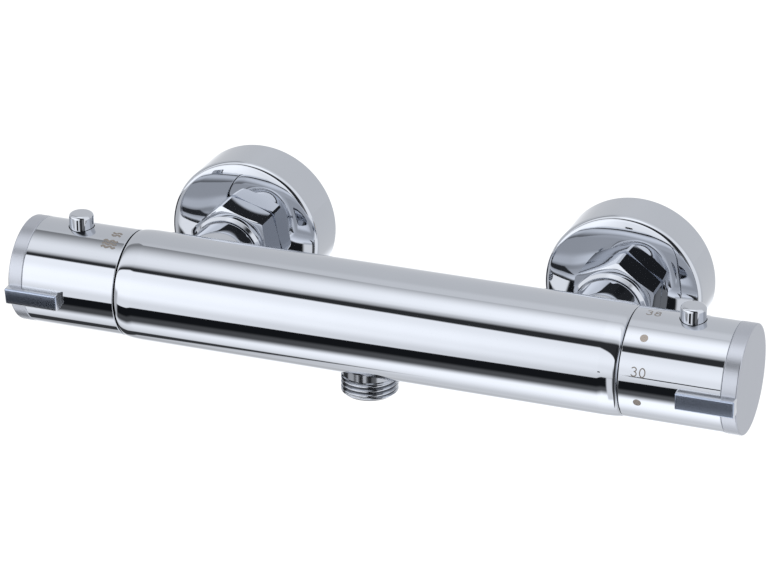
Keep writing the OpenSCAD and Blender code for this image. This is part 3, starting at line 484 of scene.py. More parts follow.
SLOT_FINISHES: dict[str, Finish] = {
    "chrome": CHROME,
    "satin_chrome": SATIN,
    "fin_chrome": FIN_PLATE,
    "brass": CutMetal("turned_brass", "brass", (0.78, 0.60, 0.30), 0.28),
    "copper": CutMetal("drawn_copper", "copper", (0.74, 0.42, 0.27), 0.30),
    "steel": CutMetal("stainless_steel", "steel", (0.60, 0.61, 0.63), 0.30),
    "rubber": Moulded("seal_rubber", "rubber", (0.035, 0.036, 0.04), 0.62, 0.0),
    "ceramic": Moulded("lapped_ceramic", "ceramic", (0.84, 0.82, 0.78), 0.18, 0.0),
    "white_plastic": Moulded("acetal", "white_plastic", (0.82, 0.82, 0.80), 0.42, 0.0),
    "ivory_plastic": Moulded("filled_plastic", "ivory_plastic", (0.76, 0.70, 0.56), 0.45, 0.0),
    "grey_plastic": Moulded("grey_plastic", "grey_plastic", (0.25, 0.26, 0.28), 0.45, 0.0),
}


def node_finish(node: str) -> Finish:
    """Gives the finish of a CAD node's material slot."""
    slots = {part["node"]: part["material_slot"] for part in frame["record"]["subparts"]}
    return SLOT_FINISHES[slots[node]]


def linked(name: str, data: bpy.types.ID) -> bpy.types.Object:
    """Makes an object and puts it into the scene.

    Args:
        name: The object's name.
        data: Its mesh, camera or light.

    Returns:
        The object.
    """
    item = bpy.data.objects.new(name, data)
    bpy.context.scene.collection.objects.link(item)
    return item


def merge(mesh: bpy.types.Mesh, turn: bool = True) -> None:
    """Merges the doubled points of a mesh.

    Args:
        mesh: The mesh.
        turn: Whether the faces are then turned outwards.
    """
    work = bmesh.new()
    work.from_mesh(mesh)
    bmesh.ops.remove_doubles(work, verts=work.verts, dist=MERGE_M)
    if turn:
        bmesh.ops.recalc_face_normals(work, faces=work.faces)
    work.to_mesh(mesh)
    work.free()


def fitted(piece: bpy.types.Object, body: str, finish: Finish, *nodes: str) -> None:
    """Joins a piece to its body, and lets it stand for CAD nodes.

    Args:
        piece: The new piece.
        body: The body that it moves with.
        finish: Not used.
        nodes: The nodes that it replaces.
    """
    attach(piece, body)
    if nodes:
        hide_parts(*nodes)


class Shell:
    """Collects grids of points, in millimetres, into the closed mesh of one piece."""

    ON_WALL = 0.0002
    FACES_OUT = 0.98

    def __init__(self) -> None:
        """Starts empty."""
        self._points: list[np.ndarray] = []
        self._quads: list[np.ndarray] = []
        self._count = 0

    def grid(self, points: np.ndarray, wrap: bool = False) -> None:
        """Adds quads between neighbours of a grid of points.

        Args:
            points: Array [row, column, xyz].
            wrap: Whether the last column joins the first.
        """
        rows, columns = points.shape[:2]
        index = np.arange(rows * columns).reshape(rows, columns) + self._count
        if wrap:
            index = np.hstack([index, index[:, :1]])
        corners = [index[:-1, :-1], index[1:, :-1], index[1:, 1:], index[:-1, 1:]]
        self._quads.append(np.stack(corners, axis=-1).reshape(-1, 4))
        self._points.append(points.reshape(-1, 3))
        self._count += rows * columns

    def _straighten(self, mesh: bpy.types.Mesh, radius: float) -> None:
        """Gives the round wall about the bar's axis its exact normals.

        A corner that lies on the wall, in a face that looks away from the axis, gets the direction
        from the axis to it. The others keep the normals of smooth shading.

        Args:
            mesh: The mesh.
            radius: The wall's radius.
        """
        def read(rows: Any, name: str, width: int = 3, kind: type = float) -> np.ndarray:
            """Reads one value of every row of a mesh.

            Args:
                rows: The mesh's rows.
                name: The value's name.
                width: How many numbers it has.
                kind: The numbers' type.

            Returns:
                Array [row, number].
            """
            values = np.zeros(len(rows) * width, kind)
            rows.foreach_get(name, values)
            return values.reshape(-1, width)

        owner = read(mesh.loops, "vertex_index", 1, int)[:, 0]
        totals = read(mesh.polygons, "loop_total", 1, int)[:, 0]
        faces = np.repeat(read(mesh.polygon_normals, "vector"), totals, axis=0)
        spoke = read(mesh.vertices, "co")[owner] * (0, 1, 1) - (0, AXIS_Y * MM, 0)
        length = np.linalg.norm(spoke, axis=1)
        spoke /= np.maximum(length, MERGE_M)[:, None]
        facing = (faces * spoke).sum(axis=1)
        exact = (np.abs(length - radius * MM) < self.ON_WALL * MM) & (facing > self.FACES_OUT)
        normals = np.where(exact[:, None], spoke, read(mesh.corner_normals, "vector"))
        mesh.normals_split_custom_set(normals.tolist())

    def piece(self, name: str, finish: Finish, sharp: float = 24.0,
              round_r: float = 0.0) -> bpy.types.Object:
        """Makes the piece.

        Args:
            name: The object's name.
            finish: Its finish.
            sharp: Angle in degrees above which an edge stays sharp.
            round_r: Radius of a round wall about the bar's axis that gets exact normals.

        Returns:
            The object, with its place in its mesh.
        """
        mesh = bpy.data.meshes.new(name)
        points = np.concatenate(self._points) * MM
        mesh.from_pydata(points.tolist(), [], np.concatenate(self._quads).tolist())
        merge(mesh)
        mesh.polygons.foreach_set("use_smooth", [True] * len(mesh.polygons))
        mesh.set_sharp_from_angle(angle=math.radians(sharp))
        if round_r:
            self._straighten(mesh, round_r)
        mesh.materials.append(finish.material())
        LOG.info("%s: %d faces", name, len(mesh.polygons))
        return linked(name, mesh)

    def stand_for(self, node: str, body: str, finish: Finish, sharp: float = 24.0,
                  round_r: float = 0.0, label: str = "") -> None:
        """Makes the piece that stands for a CAD node, and joins it to its body.

        Args:
            node: The CAD node.
            body: The body that the piece moves with.
            finish: Its finish.
            sharp: Angle in degrees above which an edge stays sharp.
            round_r: Radius of a round wall about the bar's axis that gets exact normals.
            label: The start of the piece's name, where it isn't the node's.
        """
        piece = self.piece(f"{label or node}_dressed", finish, sharp, round_r)
        fitted(piece, body, finish, node)


def rounded(corners: Sequence[Triple], steps: int = 5) -> np.ndarray:
    """Rounds the corners of an open outline.

    Each corner with a radius becomes an arc that touches both its sides; a holding point stands
    on each side, HOLD outside the arc, so that smooth shading stays on the arc.

    Args:
        corners: Rows of (first coordinate, second coordinate, radius).
        steps: Segments in an arc.

    Returns:
        Array [point, 2].
    """
    flat = np.array([corner[:2] for corner in corners], float)
    points = [flat[0]]
    for before, corner, after, radius in zip(flat, flat[1:], flat[2:],
                                             [c[2] for c in corners[1:]]):
        if radius <= 0:
            points.append(corner)
            continue
        back = (before - corner) / np.linalg.norm(before - corner)
        ahead = (after - corner) / np.linalg.norm(after - corner)
        half = math.acos(float(np.clip(back @ ahead, -1, 1))) / 2
        reach = radius / math.tan(half)
        middle = (back + ahead) / np.linalg.norm(back + ahead)
        centre = corner + middle * radius / math.sin(half)
        start, end = corner + back * reach - centre, corner + ahead * reach - centre
        span = math.pi - 2 * half
        share = np.linspace(0, 1, steps + 1)[:, None]
        arc = (np.sin((1 - share) * span) * start + np.sin(share * span) * end) / math.sin(span)
        points.append(corner + back * (reach + HOLD))
        points.extend(centre + arc)
        points.append(corner + ahead * (reach + HOLD))
    points.append(flat[-1])
    return np.array(points)


def around(count: int) -> np.ndarray:
    """Gives evenly spaced angles of a full turn, in radians, without the last."""
    return np.arange(count) * FULL_TURN / count


class Line(Enum):
    """The directions of the lines that pieces are turned round."""

    BAR = "along the bar's axis"
    WALL = "level, from the bar's axis to the wall"
    UPRIGHT = "upright, through the bar's axis"


def turned(line: Line, along: Grid, radius: Grid, angles: Grid, x: float = 0.0,
           z: float = 0.0) -> np.ndarray:
    """Turns points round a line.

    At angle t a point of radius r lies at (along, axis - r cos t, r sin t) round the bar's axis,
    at (x + r cos t, axis + along, z + r sin t) round a line to the wall, and at
    (x + r cos t, axis + r sin t, along) round an upright line.

    Args:
        line: The line's direction.
        along: Places along it.
        radius: Distances from it.
        angles: Angles in radians.
        x: The line's place along the bar.
        z: The line's height.

    Returns:
        Array [row, column, xyz], in the shape that the three give together.
    """
    across, round_it = radius * np.cos(angles), radius * np.sin(angles)
    places = {
        Line.BAR: (along, AXIS_Y - across, round_it),
        Line.WALL: (x + across, AXIS_Y + along, z + round_it),
        Line.UPRIGHT: (x + across, AXIS_Y + round_it, along),
    }
    return np.stack(np.broadcast_arrays(*places[line]), axis=-1)


def upended(outline: np.ndarray) -> np.ndarray:
    """Parts an outline of rows (along, radius) into two columns, one for each."""
    return outline.T[:, :, None]


@dataclass(frozen=True)
class Drilling:
    """A round hole through the wall of a tube along the bar's axis.

    The tube's wall is laid out by x and by angle. A square window stands round the hole; inside
    it, rays run from the hole's rim to the window's rim, and outside it the grid is plain.
    """

    x: float
    angle: float
    radius: float
    window: float
    steps: int = 12
    rings: int = 6
    crowding: float = 1.3

    def half_angle(self, tube_r: float) -> float:
        """Gives the half angle of the window on the widest tube."""
        return math.asin(self.window / tube_r)

    def angles(self, tube_r: float, count: int) -> np.ndarray:
        """Gives the angles of a tube's columns, those of the window first.

        Args:
            tube_r: The widest radius.
            count: Number of columns outside the window.

        Returns:
            Angles in radians, of one full turn.
        """
        half = self.half_angle(tube_r)
        window = np.linspace(-half, half, self.steps + 1)[:-1]
        rest = np.linspace(half, FULL_TURN - half, count + 1)[:-1]
        return self.angle + np.concatenate([window, rest])

    def rim(self) -> tuple[np.ndarray, np.ndarray, np.ndarray]:
        """Goes round the window's rim.

        Returns:
            Its points as shares of its half size, in x and in angle, and their angles at the hole.
        """
        run = np.linspace(-1, 1, self.steps + 1)[:-1]
        one = np.ones(self.steps)
        across = np.concatenate([run, one, -run, -one])
        round_it = np.concatenate([-one, run, one, -run])
        return across, round_it, np.arctan2(round_it, across)

    def hole_points(self, depths: Sequence[float], radius: Optional[float] = None) -> np.ndarray:
        """Follows the hole's wall inwards.

        A point at angle t of the hole and sideways distance s = r sin t lies on a cylinder of
        radius R at height sqrt(R * R - s * s).

        Args:
            depths: Radii of the cylinders that the rows lie on.
            radius: The hole's radius, where it isn't the drilling's own.

        Returns:
            Array [row, angle, xyz].
        """
        radius = self.radius if radius is None else radius
        turn = self.rim()[2]
        sideways = radius * np.sin(turn)
        levels = np.array(depths)[:, None]
        height = np.sqrt(levels ** 2 - sideways ** 2)
        angle = self.angle + np.arctan2(sideways, height)
        return turned(Line.BAR, self.x + radius * np.cos(turn), levels, angle)

    def wall(self, shell: Shell, radius: float, tube_r: float, rows: Sequence[float],
             angles: np.ndarray) -> None:
        """Adds one cylinder of the tube with the hole left open.

        Args:
            shell: The piece's shell.
            radius: Radius of this cylinder.
            tube_r: The widest radius of the tube.
            rows: Places along x where the cylinder starts and ends.
            angles: The tube's columns.
        """
        inside = np.linspace(self.x - self.window, self.x + self.window, self.steps + 1)
        below = np.array([x for x in rows if x < inside[0]] + [inside[0]])
        above = np.array([inside[-1]] + [x for x in rows if x > inside[-1]])
        everything = np.concatenate([below[:-1], inside, above[1:]])
        window = angles[:self.steps + 1]
        rest = np.append(angles[self.steps:], angles[0] + FULL_TURN)
        for x, columns in ((below, window), (above, window), (everything, rest)):
            shell.grid(turned(Line.BAR, x[:, None], radius, columns))
        across, round_it, turn = self.rim()
        share = np.linspace(0, 1, self.rings + 1)[:, None] ** self.crowding
        near = np.arcsin(self.radius * np.sin(turn) / radius)
        far = round_it * self.half_angle(tube_r)
        inner_x = self.x + self.radius * np.cos(turn)
        x = inner_x + (self.x + across * self.window - inner_x) * share
        angle = self.angle + near + (far - near) * share
        shell.grid(turned(Line.BAR, x, radius, angle), wrap=True)


@dataclass(frozen=True)
class Thread:
    """A parallel pipe thread cut into a round spigot, as a surface of height and angle.

    The radius is the crest less a depth times half of one less a cosine; the cosine's phase grows
    with the height and falls with the angle, and the depth fades out at both ends.
    """

    crest_r: float
    depth: float
    pitch: float = 1.814
    runout: float = 0.7
    rows_per_pitch: int = 20

    def surface(self, low: float, high: float, angles: np.ndarray) -> tuple[np.ndarray, np.ndarray]:
        """Works out the thread.

        Args:
            low: Where it starts.
            high: Where it ends.
            angles: Angles in radians.

        Returns:
            The heights, and the radii as [height, angle].
        """
        rows = int((high - low) / self.pitch * self.rows_per_pitch) + 1
        height = np.linspace(low, high, rows)
        phase = height[:, None] / self.pitch - angles / FULL_TURN
        ramp = 0.5 - 0.5 * np.cos(phase * FULL_TURN)
        edge = np.minimum(height - low, high - height) / self.runout
        fade = np.clip(edge, 0, 1)[:, None]
        return height, self.crest_r - self.depth * ramp * fade


@dataclass
class BarBody:
    """The bar with its rounded ends, its two bosses and the pocket of the outlet."""

    radius: float = 20.45
    half_len: float = 95.3
    shoulder_len: float = 7.0
    end_r: float = 19.6
    edge: float = 0.3
    boss_r: float = 12.9
    boss_reach: float = 36.0
    boss_edge: float = 0.4
    boss_lead: float = 1.0
    boss_root: float = 6.0
    boss_columns: int = 160
    fillet: float = 5.5
    fillet_sink: float = 1.06
    fillet_rows: int = 15
    nipple_bore_r: float = 9.65
    nipple_bore_depth: float = 5.0
    pocket: Drilling = Drilling(OUTLET_X, -math.pi / 2, radius=9.63, window=12.5)
    pocket_floor: float = 15.05
    pocket_step: float = 2.0
    outlet_bore_end: float = 12.0
    flow_cavity: Pair = (58.0, 13.0)
    thermo_cavity: Pair = (34.0, 15.0)
    mixed_r: float = 9.5
    columns: int = 220
    shoulder_rows: int = 11

    def ends(self, shell: Shell, angles: np.ndarray, start: float) -> None:
        """Adds both shoulders and end faces, and the bores that hold the cartridges.

        The shoulder is a quarter of an oval that falls from the bar's radius to the end's.

        Args:
            shell: The piece's shell.
            angles: The bar's columns.
            start: Where the shoulder starts.
        """
        turn = np.linspace(0, math.pi / 2, self.shoulder_rows)
        length = self.half_len - self.edge - start
        oval = np.stack([start + length * np.sin(turn),
                         self.end_r + (self.radius - self.end_r) * np.cos(turn)], axis=-1)
        face = self.end_r - self.edge
        for side, (cavity_x, cavity_r) in ((Side.LEFT, self.flow_cavity),
                                           (Side.RIGHT, self.thermo_cavity)):
            rest = np.array([(self.half_len, face), (self.half_len, cavity_r),
                             (cavity_x, cavity_r), (cavity_x, self.mixed_r)])
            along, radius = upended(np.concatenate([oval, rest]))
            shell.grid(turned(Line.BAR, along * side.value, radius, angles), wrap=True)
        through = np.array([[-self.flow_cavity[0]], [self.thermo_cavity[0]]])
        shell.grid(turned(Line.BAR, through, self.mixed_r, angles), wrap=True)

    def outlet_pocket(self, shell: Shell) -> None:
        """Adds the pocket that the outlet screws into, and the waterway above it.

        Args:
            shell: The piece's shell.
        """
        floor = self.pocket_floor
        shell.grid(self.pocket.hole_points([self.radius, floor + self.pocket_step, floor]),
                   wrap=True)
        outer = self.pocket.hole_points([floor])
        inner = self.pocket.hole_points([floor, self.outlet_bore_end], WATER_R)
        shell.grid(np.concatenate([outer, inner]), wrap=True)
        roof = np.broadcast_to(inner[1].mean(axis=0), inner[1].shape)
        shell.grid(np.stack([inner[1], roof]), wrap=True)

    def boss(self, shell: Shell, side: Side) -> None:
        """Adds one boss with its rolling ball fillet.

        The ball's centre keeps the fillet's radius from both cylinders: it goes round the boss's
        line at the boss's radius plus the ball's, at a distance from the bar's axis of the bar's
        radius plus the ball's. The fillet is the ball's arc between the two points of touch.

        Args:
            shell: The piece's shell.
            side: The boss's side.
        """
        turn = around(self.boss_columns)
        ball, centre_r = self.fillet, self.boss_r + self.fillet
        centre_x = centre_r * np.cos(turn)
        centre_z = centre_r * np.sin(turn)
        centre_a = np.sqrt((self.radius + ball) ** 2 - centre_z ** 2)
        centre = np.stack([centre_x, centre_a, centre_z], axis=-1)
        on_boss = np.stack([-np.cos(turn), np.zeros_like(turn), -np.sin(turn)], axis=-1)
        shrink = -1 / (self.radius + ball)
        on_bar = np.stack([np.zeros_like(turn), centre_a * shrink, centre_z * shrink], axis=-1)
        span = np.arccos((on_boss * on_bar).sum(axis=-1))[:, None]
        share = np.linspace(0, 1, self.fillet_rows)[:, None, None]
        arc = (np.sin((1 - share) * span) * on_bar + np.sin(share * span) * on_boss) / np.sin(span)
        fillet = centre + ball * arc
        under = centre + ball * on_bar * self.fillet_sink
        floor = self.boss_reach - self.nipple_bore_depth
        top, out = upended(rounded([
            (self.boss_reach - self.boss_lead, self.boss_r, 0),
            (self.boss_reach, self.boss_r, self.boss_edge),
            (self.boss_reach, self.nipple_bore_r, 0), (floor, self.nipple_bore_r, 0)]))
        wall = np.stack(np.broadcast_arrays(out * np.cos(turn), top, out * np.sin(turn)), axis=-1)
        start, end = (np.full((1, len(turn), 3), (0.0, height, 0.0))
                      for height in (self.radius - self.boss_root, floor))
        points = np.concatenate([start, under[None], fillet, wall, end])
        shell.grid(points + (side.value * INLET_X, AXIS_Y, 0.0), wrap=True)

    def build(self) -> None:
        """Builds the bar."""
        shell = Shell()
        start = self.half_len - self.shoulder_len
        angles = self.pocket.angles(self.radius, self.columns)
        self.pocket.wall(shell, self.radius, self.radius, [-start, start], angles)
        self.ends(shell, angles, start)
        self.outlet_pocket(shell)
        for side in Side:
            self.boss(shell, side)
        shell.stand_for("bar_body", "valve_body", CHROME, round_r=self.radius)


@dataclass
class Outlet:
    """The threaded outlet below the bar, turned round an upright line.

    Its places are distances below the bar's axis.
    """

    screw_r: float = 9.58
    neck_r: float = 10.08
    neck_bevel: float = 0.25
    screw_end: float = 17.0
    top: float = 16.0
    thread_z: float = 20.95
    end_z: float = 28.0
    chamfer: float = 1.0
    mouth_round: float = 0.5
    columns: int = 180
    thread: Thread = Thread(crest_r=10.48, depth=0.75)

    def build(self) -> None:
        """Builds the outlet."""
        angles = around(self.columns)
        crest_r = self.thread.crest_r
        height, radii = self.thread.surface(-(self.end_z - self.chamfer), -self.thread_z, angles)
        foot = rounded([(-self.top, WATER_R, 0), (-self.end_z, WATER_R, self.mouth_round),
                        (-self.end_z, crest_r - self.chamfer, 0),
                        (-self.end_z + self.chamfer, crest_r, 0)])
        head = np.array([(-self.thread_z, crest_r), (-self.thread_z + self.neck_bevel, self.neck_r),
                         (-self.screw_end, self.neck_r), (-self.screw_end, self.screw_r),
                         (-self.top, self.screw_r), (-self.top, WATER_R)])
        shell = Shell()
        for along, radius in (upended(foot), (height[:, None], radii), upended(head)):
            shell.grid(turned(Line.UPRIGHT, along, radius, angles, OUTLET_X), wrap=True)
        shell.stand_for("outlet_nipple", "valve_body", THREAD_PLATE, sharp=40.0, label="outlet")


@dataclass
class InletUnion:
    """The union nut, the wall flange and the offset wall union of one side.

    Their places are distances from the bar's axis towards the wall.
    """

    side: Side
    nut_start: float = 36.5
    collar_r: float = 14.3
    collar_chamfer: float = 1.1
    collar_round: float = 0.25
    lip_end: float = 39.5
    lip_r: float = 10.5
    lip_round: float = 0.3
    bore_r: float = 13.27
    hex_start: float = 40.3
    hex_end: float = 52.4
    hex_half: float = 15.0
    hex_round_r: float = 17.02
    chamfer_r: float = 14.72
    chamfer_slope: float = 2.1
    chamfer_hold: float = 0.15
    facet_step: float = 0.03
    facet_middle: float = 0.1
    hex_turn: dict[Side, float] = field(default_factory=lambda: {Side.LEFT: 43.0, Side.RIGHT: 25.0})
    flange_r: float = 30.0
    flange_t: float = 1.2
    rim_r: float = 2.52
    hole_round: float = 0.5
    edge_round: float = 0.2
    inner_round: float = 0.6
    arc_rows: int = 15
    flange_columns: int = 224
    bowl_start: float = 17.0
    bowl_w: float = 11.1
    bowl_h: float = 1.1
    flange_collar: float = 6.5
    wall: float = 72.8
    union_start: float = 44.3
    union_body: Pair = (63.3, 67.8)
    union_lap: float = 0.4
    union_r: float = 13.22
    union_body_r: float = 15.0
    offset: float = 7.5
    tail_body_r: float = 13.5
    tail_body_len: float = 2.5
    tail_end: float = 86.8
    tail_bevel: float = 1.0
    brass_round: float = 0.4
    front_columns: int = 120
    tail_columns: int = 144
    thread: Thread = Thread(crest_r=10.48, depth=1.0)

    @property
    def centre_x(self) -> float:
        """Gives the inlet's place along the bar."""
        return self.side.value * INLET_X

    def hexagon(self) -> tuple[np.ndarray, np.ndarray]:
        """Works out the six sided part.

        At an angle d from the middle of a facet the radius is the half width over cos d, but not
        more than the turned radius that takes off the corners. Columns crowd at each facet's ends.

        Returns:
            The angles, and the radii at them.
        """
        cut = math.acos(self.hex_half / self.hex_round_r)
        sixth = math.pi / 3
        near, far = cut - self.facet_step, cut - 2 * self.facet_step
        facet = np.concatenate([
            [-cut, -near], np.linspace(-far, -self.facet_middle, 6), np.linspace(0, far, 7),
            [near, cut], np.linspace(cut, sixth - cut, 4)[1:-1]])
        middle = math.radians(self.hex_turn[self.side]) + sixth / 2
        turns = middle + sixth * np.arange(6)
        angles = (turns[:, None] + facet).ravel()
        inside = np.clip(np.tile(facet, 6), -cut, cut)
        radii = np.where(np.tile(facet, 6) > cut, self.hex_round_r, self.hex_half / np.cos(inside))
        return angles, radii

    def nut(self) -> None:
        """Builds the union nut: a turned collar and a hexagon with turned corners.

        Each end of the hexagon is turned to a cone, so the cone's width at an angle is the radius
        there less the radius at the end, over the slope.
        """
        angles, radii = self.hexagon()
        rise = (radii - self.chamfer_r) / self.chamfer_slope
        one = np.ones(len(angles))
        inside = rounded([
            (self.hex_end, self.bore_r, 0), (self.lip_end, self.bore_r, 0),
            (self.lip_end, self.lip_r, 0), (self.nut_start, self.lip_r, self.lip_round),
            (self.nut_start, self.collar_r - self.collar_chamfer, 0),
            (self.nut_start + self.collar_chamfer, self.collar_r, self.collar_round),
            (self.hex_start, self.collar_r, 0), (self.hex_start, self.chamfer_r, 0)])
        first, last = self.hex_start * one, self.hex_end * one
        outside = np.stack([first, first + rise, first + rise + self.chamfer_hold,
                            last - rise - self.chamfer_hold, last - rise, last, last])
        end = self.chamfer_r * one
        widths = np.stack([end, radii, radii, radii, radii, end, self.bore_r * one])
        shell = Shell()
        for along, radius in (upended(inside), (outside, widths)):
            shell.grid(turned(Line.WALL, along, radius, angles, self.centre_x), wrap=True)
        shell.stand_for(f"{self.side.inlet}_union_nut", "valve_body", CHROME, 26.0)

    def flange(self) -> None:
        """Builds the wall flange, a pressed shell with a bowed face and an inner collar.

        The face is flat by the hole, then falls back by bowl_h times the square of the share of
        bowl_w, and an arc of rim_r carries it on from that slope into the side wall.
        """
        face, hole_r = self.hex_end, self.bore_r
        in_r, back = self.flange_r - self.flange_t, face + self.flange_t + self.bowl_h
        collar_end, collar_r = face + self.flange_collar, hole_r + 2 * self.flange_t
        front = rounded([(collar_end, hole_r, 0), (face, hole_r, self.hole_round),
                         (face, self.bowl_start - self.hole_round, 0)])
        share = np.linspace(0, 1, self.arc_rows)[:-1]
        bowl = np.stack([face + self.bowl_h * share ** 2,
                         self.bowl_start + self.bowl_w * share], axis=-1)
        turn = np.linspace(math.atan(2 * self.bowl_h / self.bowl_w), math.pi / 2, self.arc_rows)
        centre_a = face + self.bowl_h + self.rim_r * math.cos(turn[0])
        rim = np.stack([centre_a - self.rim_r * np.cos(turn),
                        self.flange_r - self.rim_r * (1 - np.sin(turn))], axis=-1)
        inside = rounded([
            (centre_a + self.edge_round, self.flange_r, 0),
            (self.wall, self.flange_r, self.edge_round), (self.wall, in_r, self.edge_round),
            (back, in_r, self.inner_round), (back, collar_r, 0), (collar_end, collar_r, 0),
            (collar_end, hole_r, 0)], steps=8)
        along, radius = upended(np.concatenate([front, bowl, rim, inside]))
        angles = around(self.flange_columns)
        shell = Shell()
        shell.grid(turned(Line.WALL, along, radius, angles, self.centre_x), wrap=True)
        shell.stand_for(f"{self.side.inlet}_flange", "valve_body", CHROME)

    def wall_union(self) -> None:
        """Builds the brass offset union behind the flange, with its thread for the wall pipe."""
        body0, body1 = self.union_body
        crest_r, soft = self.thread.crest_r, self.brass_round
        middle, tail_start = body1 + self.union_lap, body1 + self.tail_body_len
        front = rounded([
            (body1 - self.union_lap, 0, 0), (body1 - self.union_lap, WATER_R, 0),
            (self.union_start, WATER_R, 0), (self.union_start, self.union_r, self.hole_round),
            (body0, self.union_r, 0), (body0, self.union_body_r, soft),
            (body1, self.union_body_r, soft), (body1, 0, 0)])
        tail = rounded([
            (middle, 0, 0), (body0, 0, 0), (body0, self.tail_body_r, soft),
            (tail_start, self.tail_body_r, soft), (tail_start, crest_r, 0),
            (self.wall, crest_r, 0)])
        last = self.tail_end - self.tail_bevel
        end = rounded([
            (last, crest_r, 0), (self.tail_end, crest_r - self.tail_bevel, 0),
            (self.tail_end, WATER_R, soft), (middle, WATER_R, 0), (middle, 0, 0)])
        angles = around(self.tail_columns)
        height, radii = self.thread.surface(self.wall, last, angles)
        shell = Shell()
        for (along, radius), turns, up in (
                (upended(front), around(self.front_columns), 0.0),
                (upended(tail), angles, self.offset),
                ((height[:, None], radii), angles, self.offset),
                (upended(end), angles, self.offset)):
            shell.grid(turned(Line.WALL, along, radius, turns, self.centre_x, up), wrap=True)
        shell.stand_for(f"{self.side.inlet}_wall_union", "valve_body", SLOT_FINISHES["brass"], 30.0)

    def build(self) -> None:
        """Builds the three pieces."""
        self.nut()
        self.flange()
        self.wall_union()


@dataclass
class Handle:
    """One handle: sleeve with its button's hole, end cap, fin, push button and printed marks.

    Places along the bar are distances from its middle.
    """

    side: Side
    radius: float = 19.7
    in_r: float = 17.9
    sleeve_start: float = 95.7
    sleeve_end: float = 132.3
    edge: float = 0.3
    button_x: float = 116.5
    button_r: float = 4.6
    button_gap: float = 0.25
    button_window: float = 7.0
    button_top: float = 24.9
    button_round: float = 1.4
    button_hold: float = 0.15
    lip_z: float = 16.9
    lip_r: float = 5.6
    lip_t: float = 1.2
    lip_round: float = 0.2
    stem_r: float = 1.6
    stem_end: float = 8.8
    stem_round: float = 0.3
    cap_end: float = 137.9
    cap_edge: float = 0.5
    cap_inner: float = 135.9
    cap_bore_r: float = 16.3
    spigot_len: float = 3.0
    spigot_gap: float = 0.05
    fin_len: float = 20.9
    fin_h: float = 6.3
    fin_reach: float = 22.9
    fin_edge: float = 0.5
    fin_sunk: float = 1.2
    fin_turn: dict[Side, float] = field(default_factory=lambda: {Side.LEFT: 6.5, Side.RIGHT: 4.0})
    columns: int = 200
    cap_columns: int = 240
    button_columns: int = 96

    @property
    def body(self) -> str:
        """Names the body that the handle moves with."""
        return f"{self.side.handle}_handle"

    def sleeve(self) -> None:
        """Builds the sleeve, a tube with rounded ends and the button's hole in its top."""
        sign = self.side.value
        hole = Drilling(sign * self.button_x, math.pi / 2, self.button_r + self.button_gap,
                        self.button_window)
        angles = hole.angles(self.radius, self.columns)
        first, last = self.sleeve_start, self.sleeve_end
        shell = Shell()
        for radius, edge in ((self.radius, self.edge), (self.in_r, 0.0)):
            reach = sorted((sign * (first + edge), sign * (last - edge)))
            hole.wall(shell, radius, self.radius, reach, angles)
        depths = [self.radius, self.radius - self.button_hold, self.in_r]
        shell.grid(hole.hole_points(depths), wrap=True)
        for end, inward in ((first, 1), (last, -1)):
            along = np.append(end + inward * self.edge * (1 - np.sin(EDGE_TURN)), end)
            radii = np.append(self.radius - self.edge * (1 - np.cos(EDGE_TURN)), self.in_r)
            shell.grid(turned(Line.BAR, sign * along[:, None], radii[:, None], angles), wrap=True)
        shell.stand_for(f"{self.side.handle}_sleeve", self.body, CHROME, round_r=self.radius)

    def end_cap(self) -> None:
        """Builds the end cap: a turned cup with a flat face and a fine bevel."""
        spigot_r = self.in_r - self.spigot_gap
        spigot_x = self.sleeve_end - self.spigot_len
        along, radius = upended(rounded([
            (self.cap_inner, 0, 0), (self.cap_inner, self.cap_bore_r, 0),
            (spigot_x, self.cap_bore_r, 0), (spigot_x, spigot_r, self.edge),
            (self.sleeve_end, spigot_r, 0), (self.sleeve_end, self.radius, self.edge),
            (self.cap_end, self.radius, self.cap_edge), (self.cap_end, 0, 0)]))
        angles = around(self.cap_columns)
        shell = Shell()
        shell.grid(turned(Line.BAR, self.side.value * along, radius, angles), wrap=True)
        shell.stand_for(f"{self.side.handle}_end_cap", self.body, SATIN)

    def fin(self) -> None:
        """Builds the grip fin, a bar with rounded edges let into the front of the handle.

        Its section is a rectangle with rounded corners. Near each end the section shrinks by an
        inset of edge times (1 - sin t) while x moves by edge times (1 - cos t).
        """
        corner, reach = self.fin_edge, self.fin_reach
        inset = corner * (1 - np.sin(EDGE_TURN))
        move = corner * (1 - np.cos(EDGE_TURN))
        start, end = self.cap_end - self.fin_len, self.cap_end
        x = np.concatenate([[start], start + move, [start + corner + HOLD],
                            [end - corner - HOLD], end - move[::-1], [end]])
        shrink = np.concatenate([[0], inset, [0], [0], inset[::-1], [0]])
        bottom = self.radius - self.fin_sunk
        middle, half_depth, half_h = (bottom + reach) / 2, (reach - bottom) / 2, self.fin_h / 2
        turn = np.concatenate([EDGE_TURN + number * math.pi / 2 for number in range(4)])
        cosine, sine = np.cos(turn), np.sin(turn)
        right = np.repeat((1, -1, -1, 1), len(EDGE_TURN))
        top = np.repeat((1, 1, -1, -1), len(EDGE_TURN))
        size = (corner - shrink)[:, None]
        depth = middle + right * (half_depth - corner) + size * cosine
        height = top * (half_h - corner) + size * sine
        for row in (0, -1):
            depth[row], height[row] = middle, 0.0
        tilt = -math.radians(self.fin_turn[self.side])
        y = AXIS_Y - (depth * math.cos(tilt) - height * math.sin(tilt))
        z = depth * math.sin(tilt) + height * math.cos(tilt)
        along = self.side.value * x[:, None] * np.ones(len(right))
        shell = Shell()
        shell.grid(np.stack([along, y, z], axis=-1), wrap=True)
        shell.stand_for(f"{self.side.handle}_fin", self.body, FIN_PLATE, 35.0)

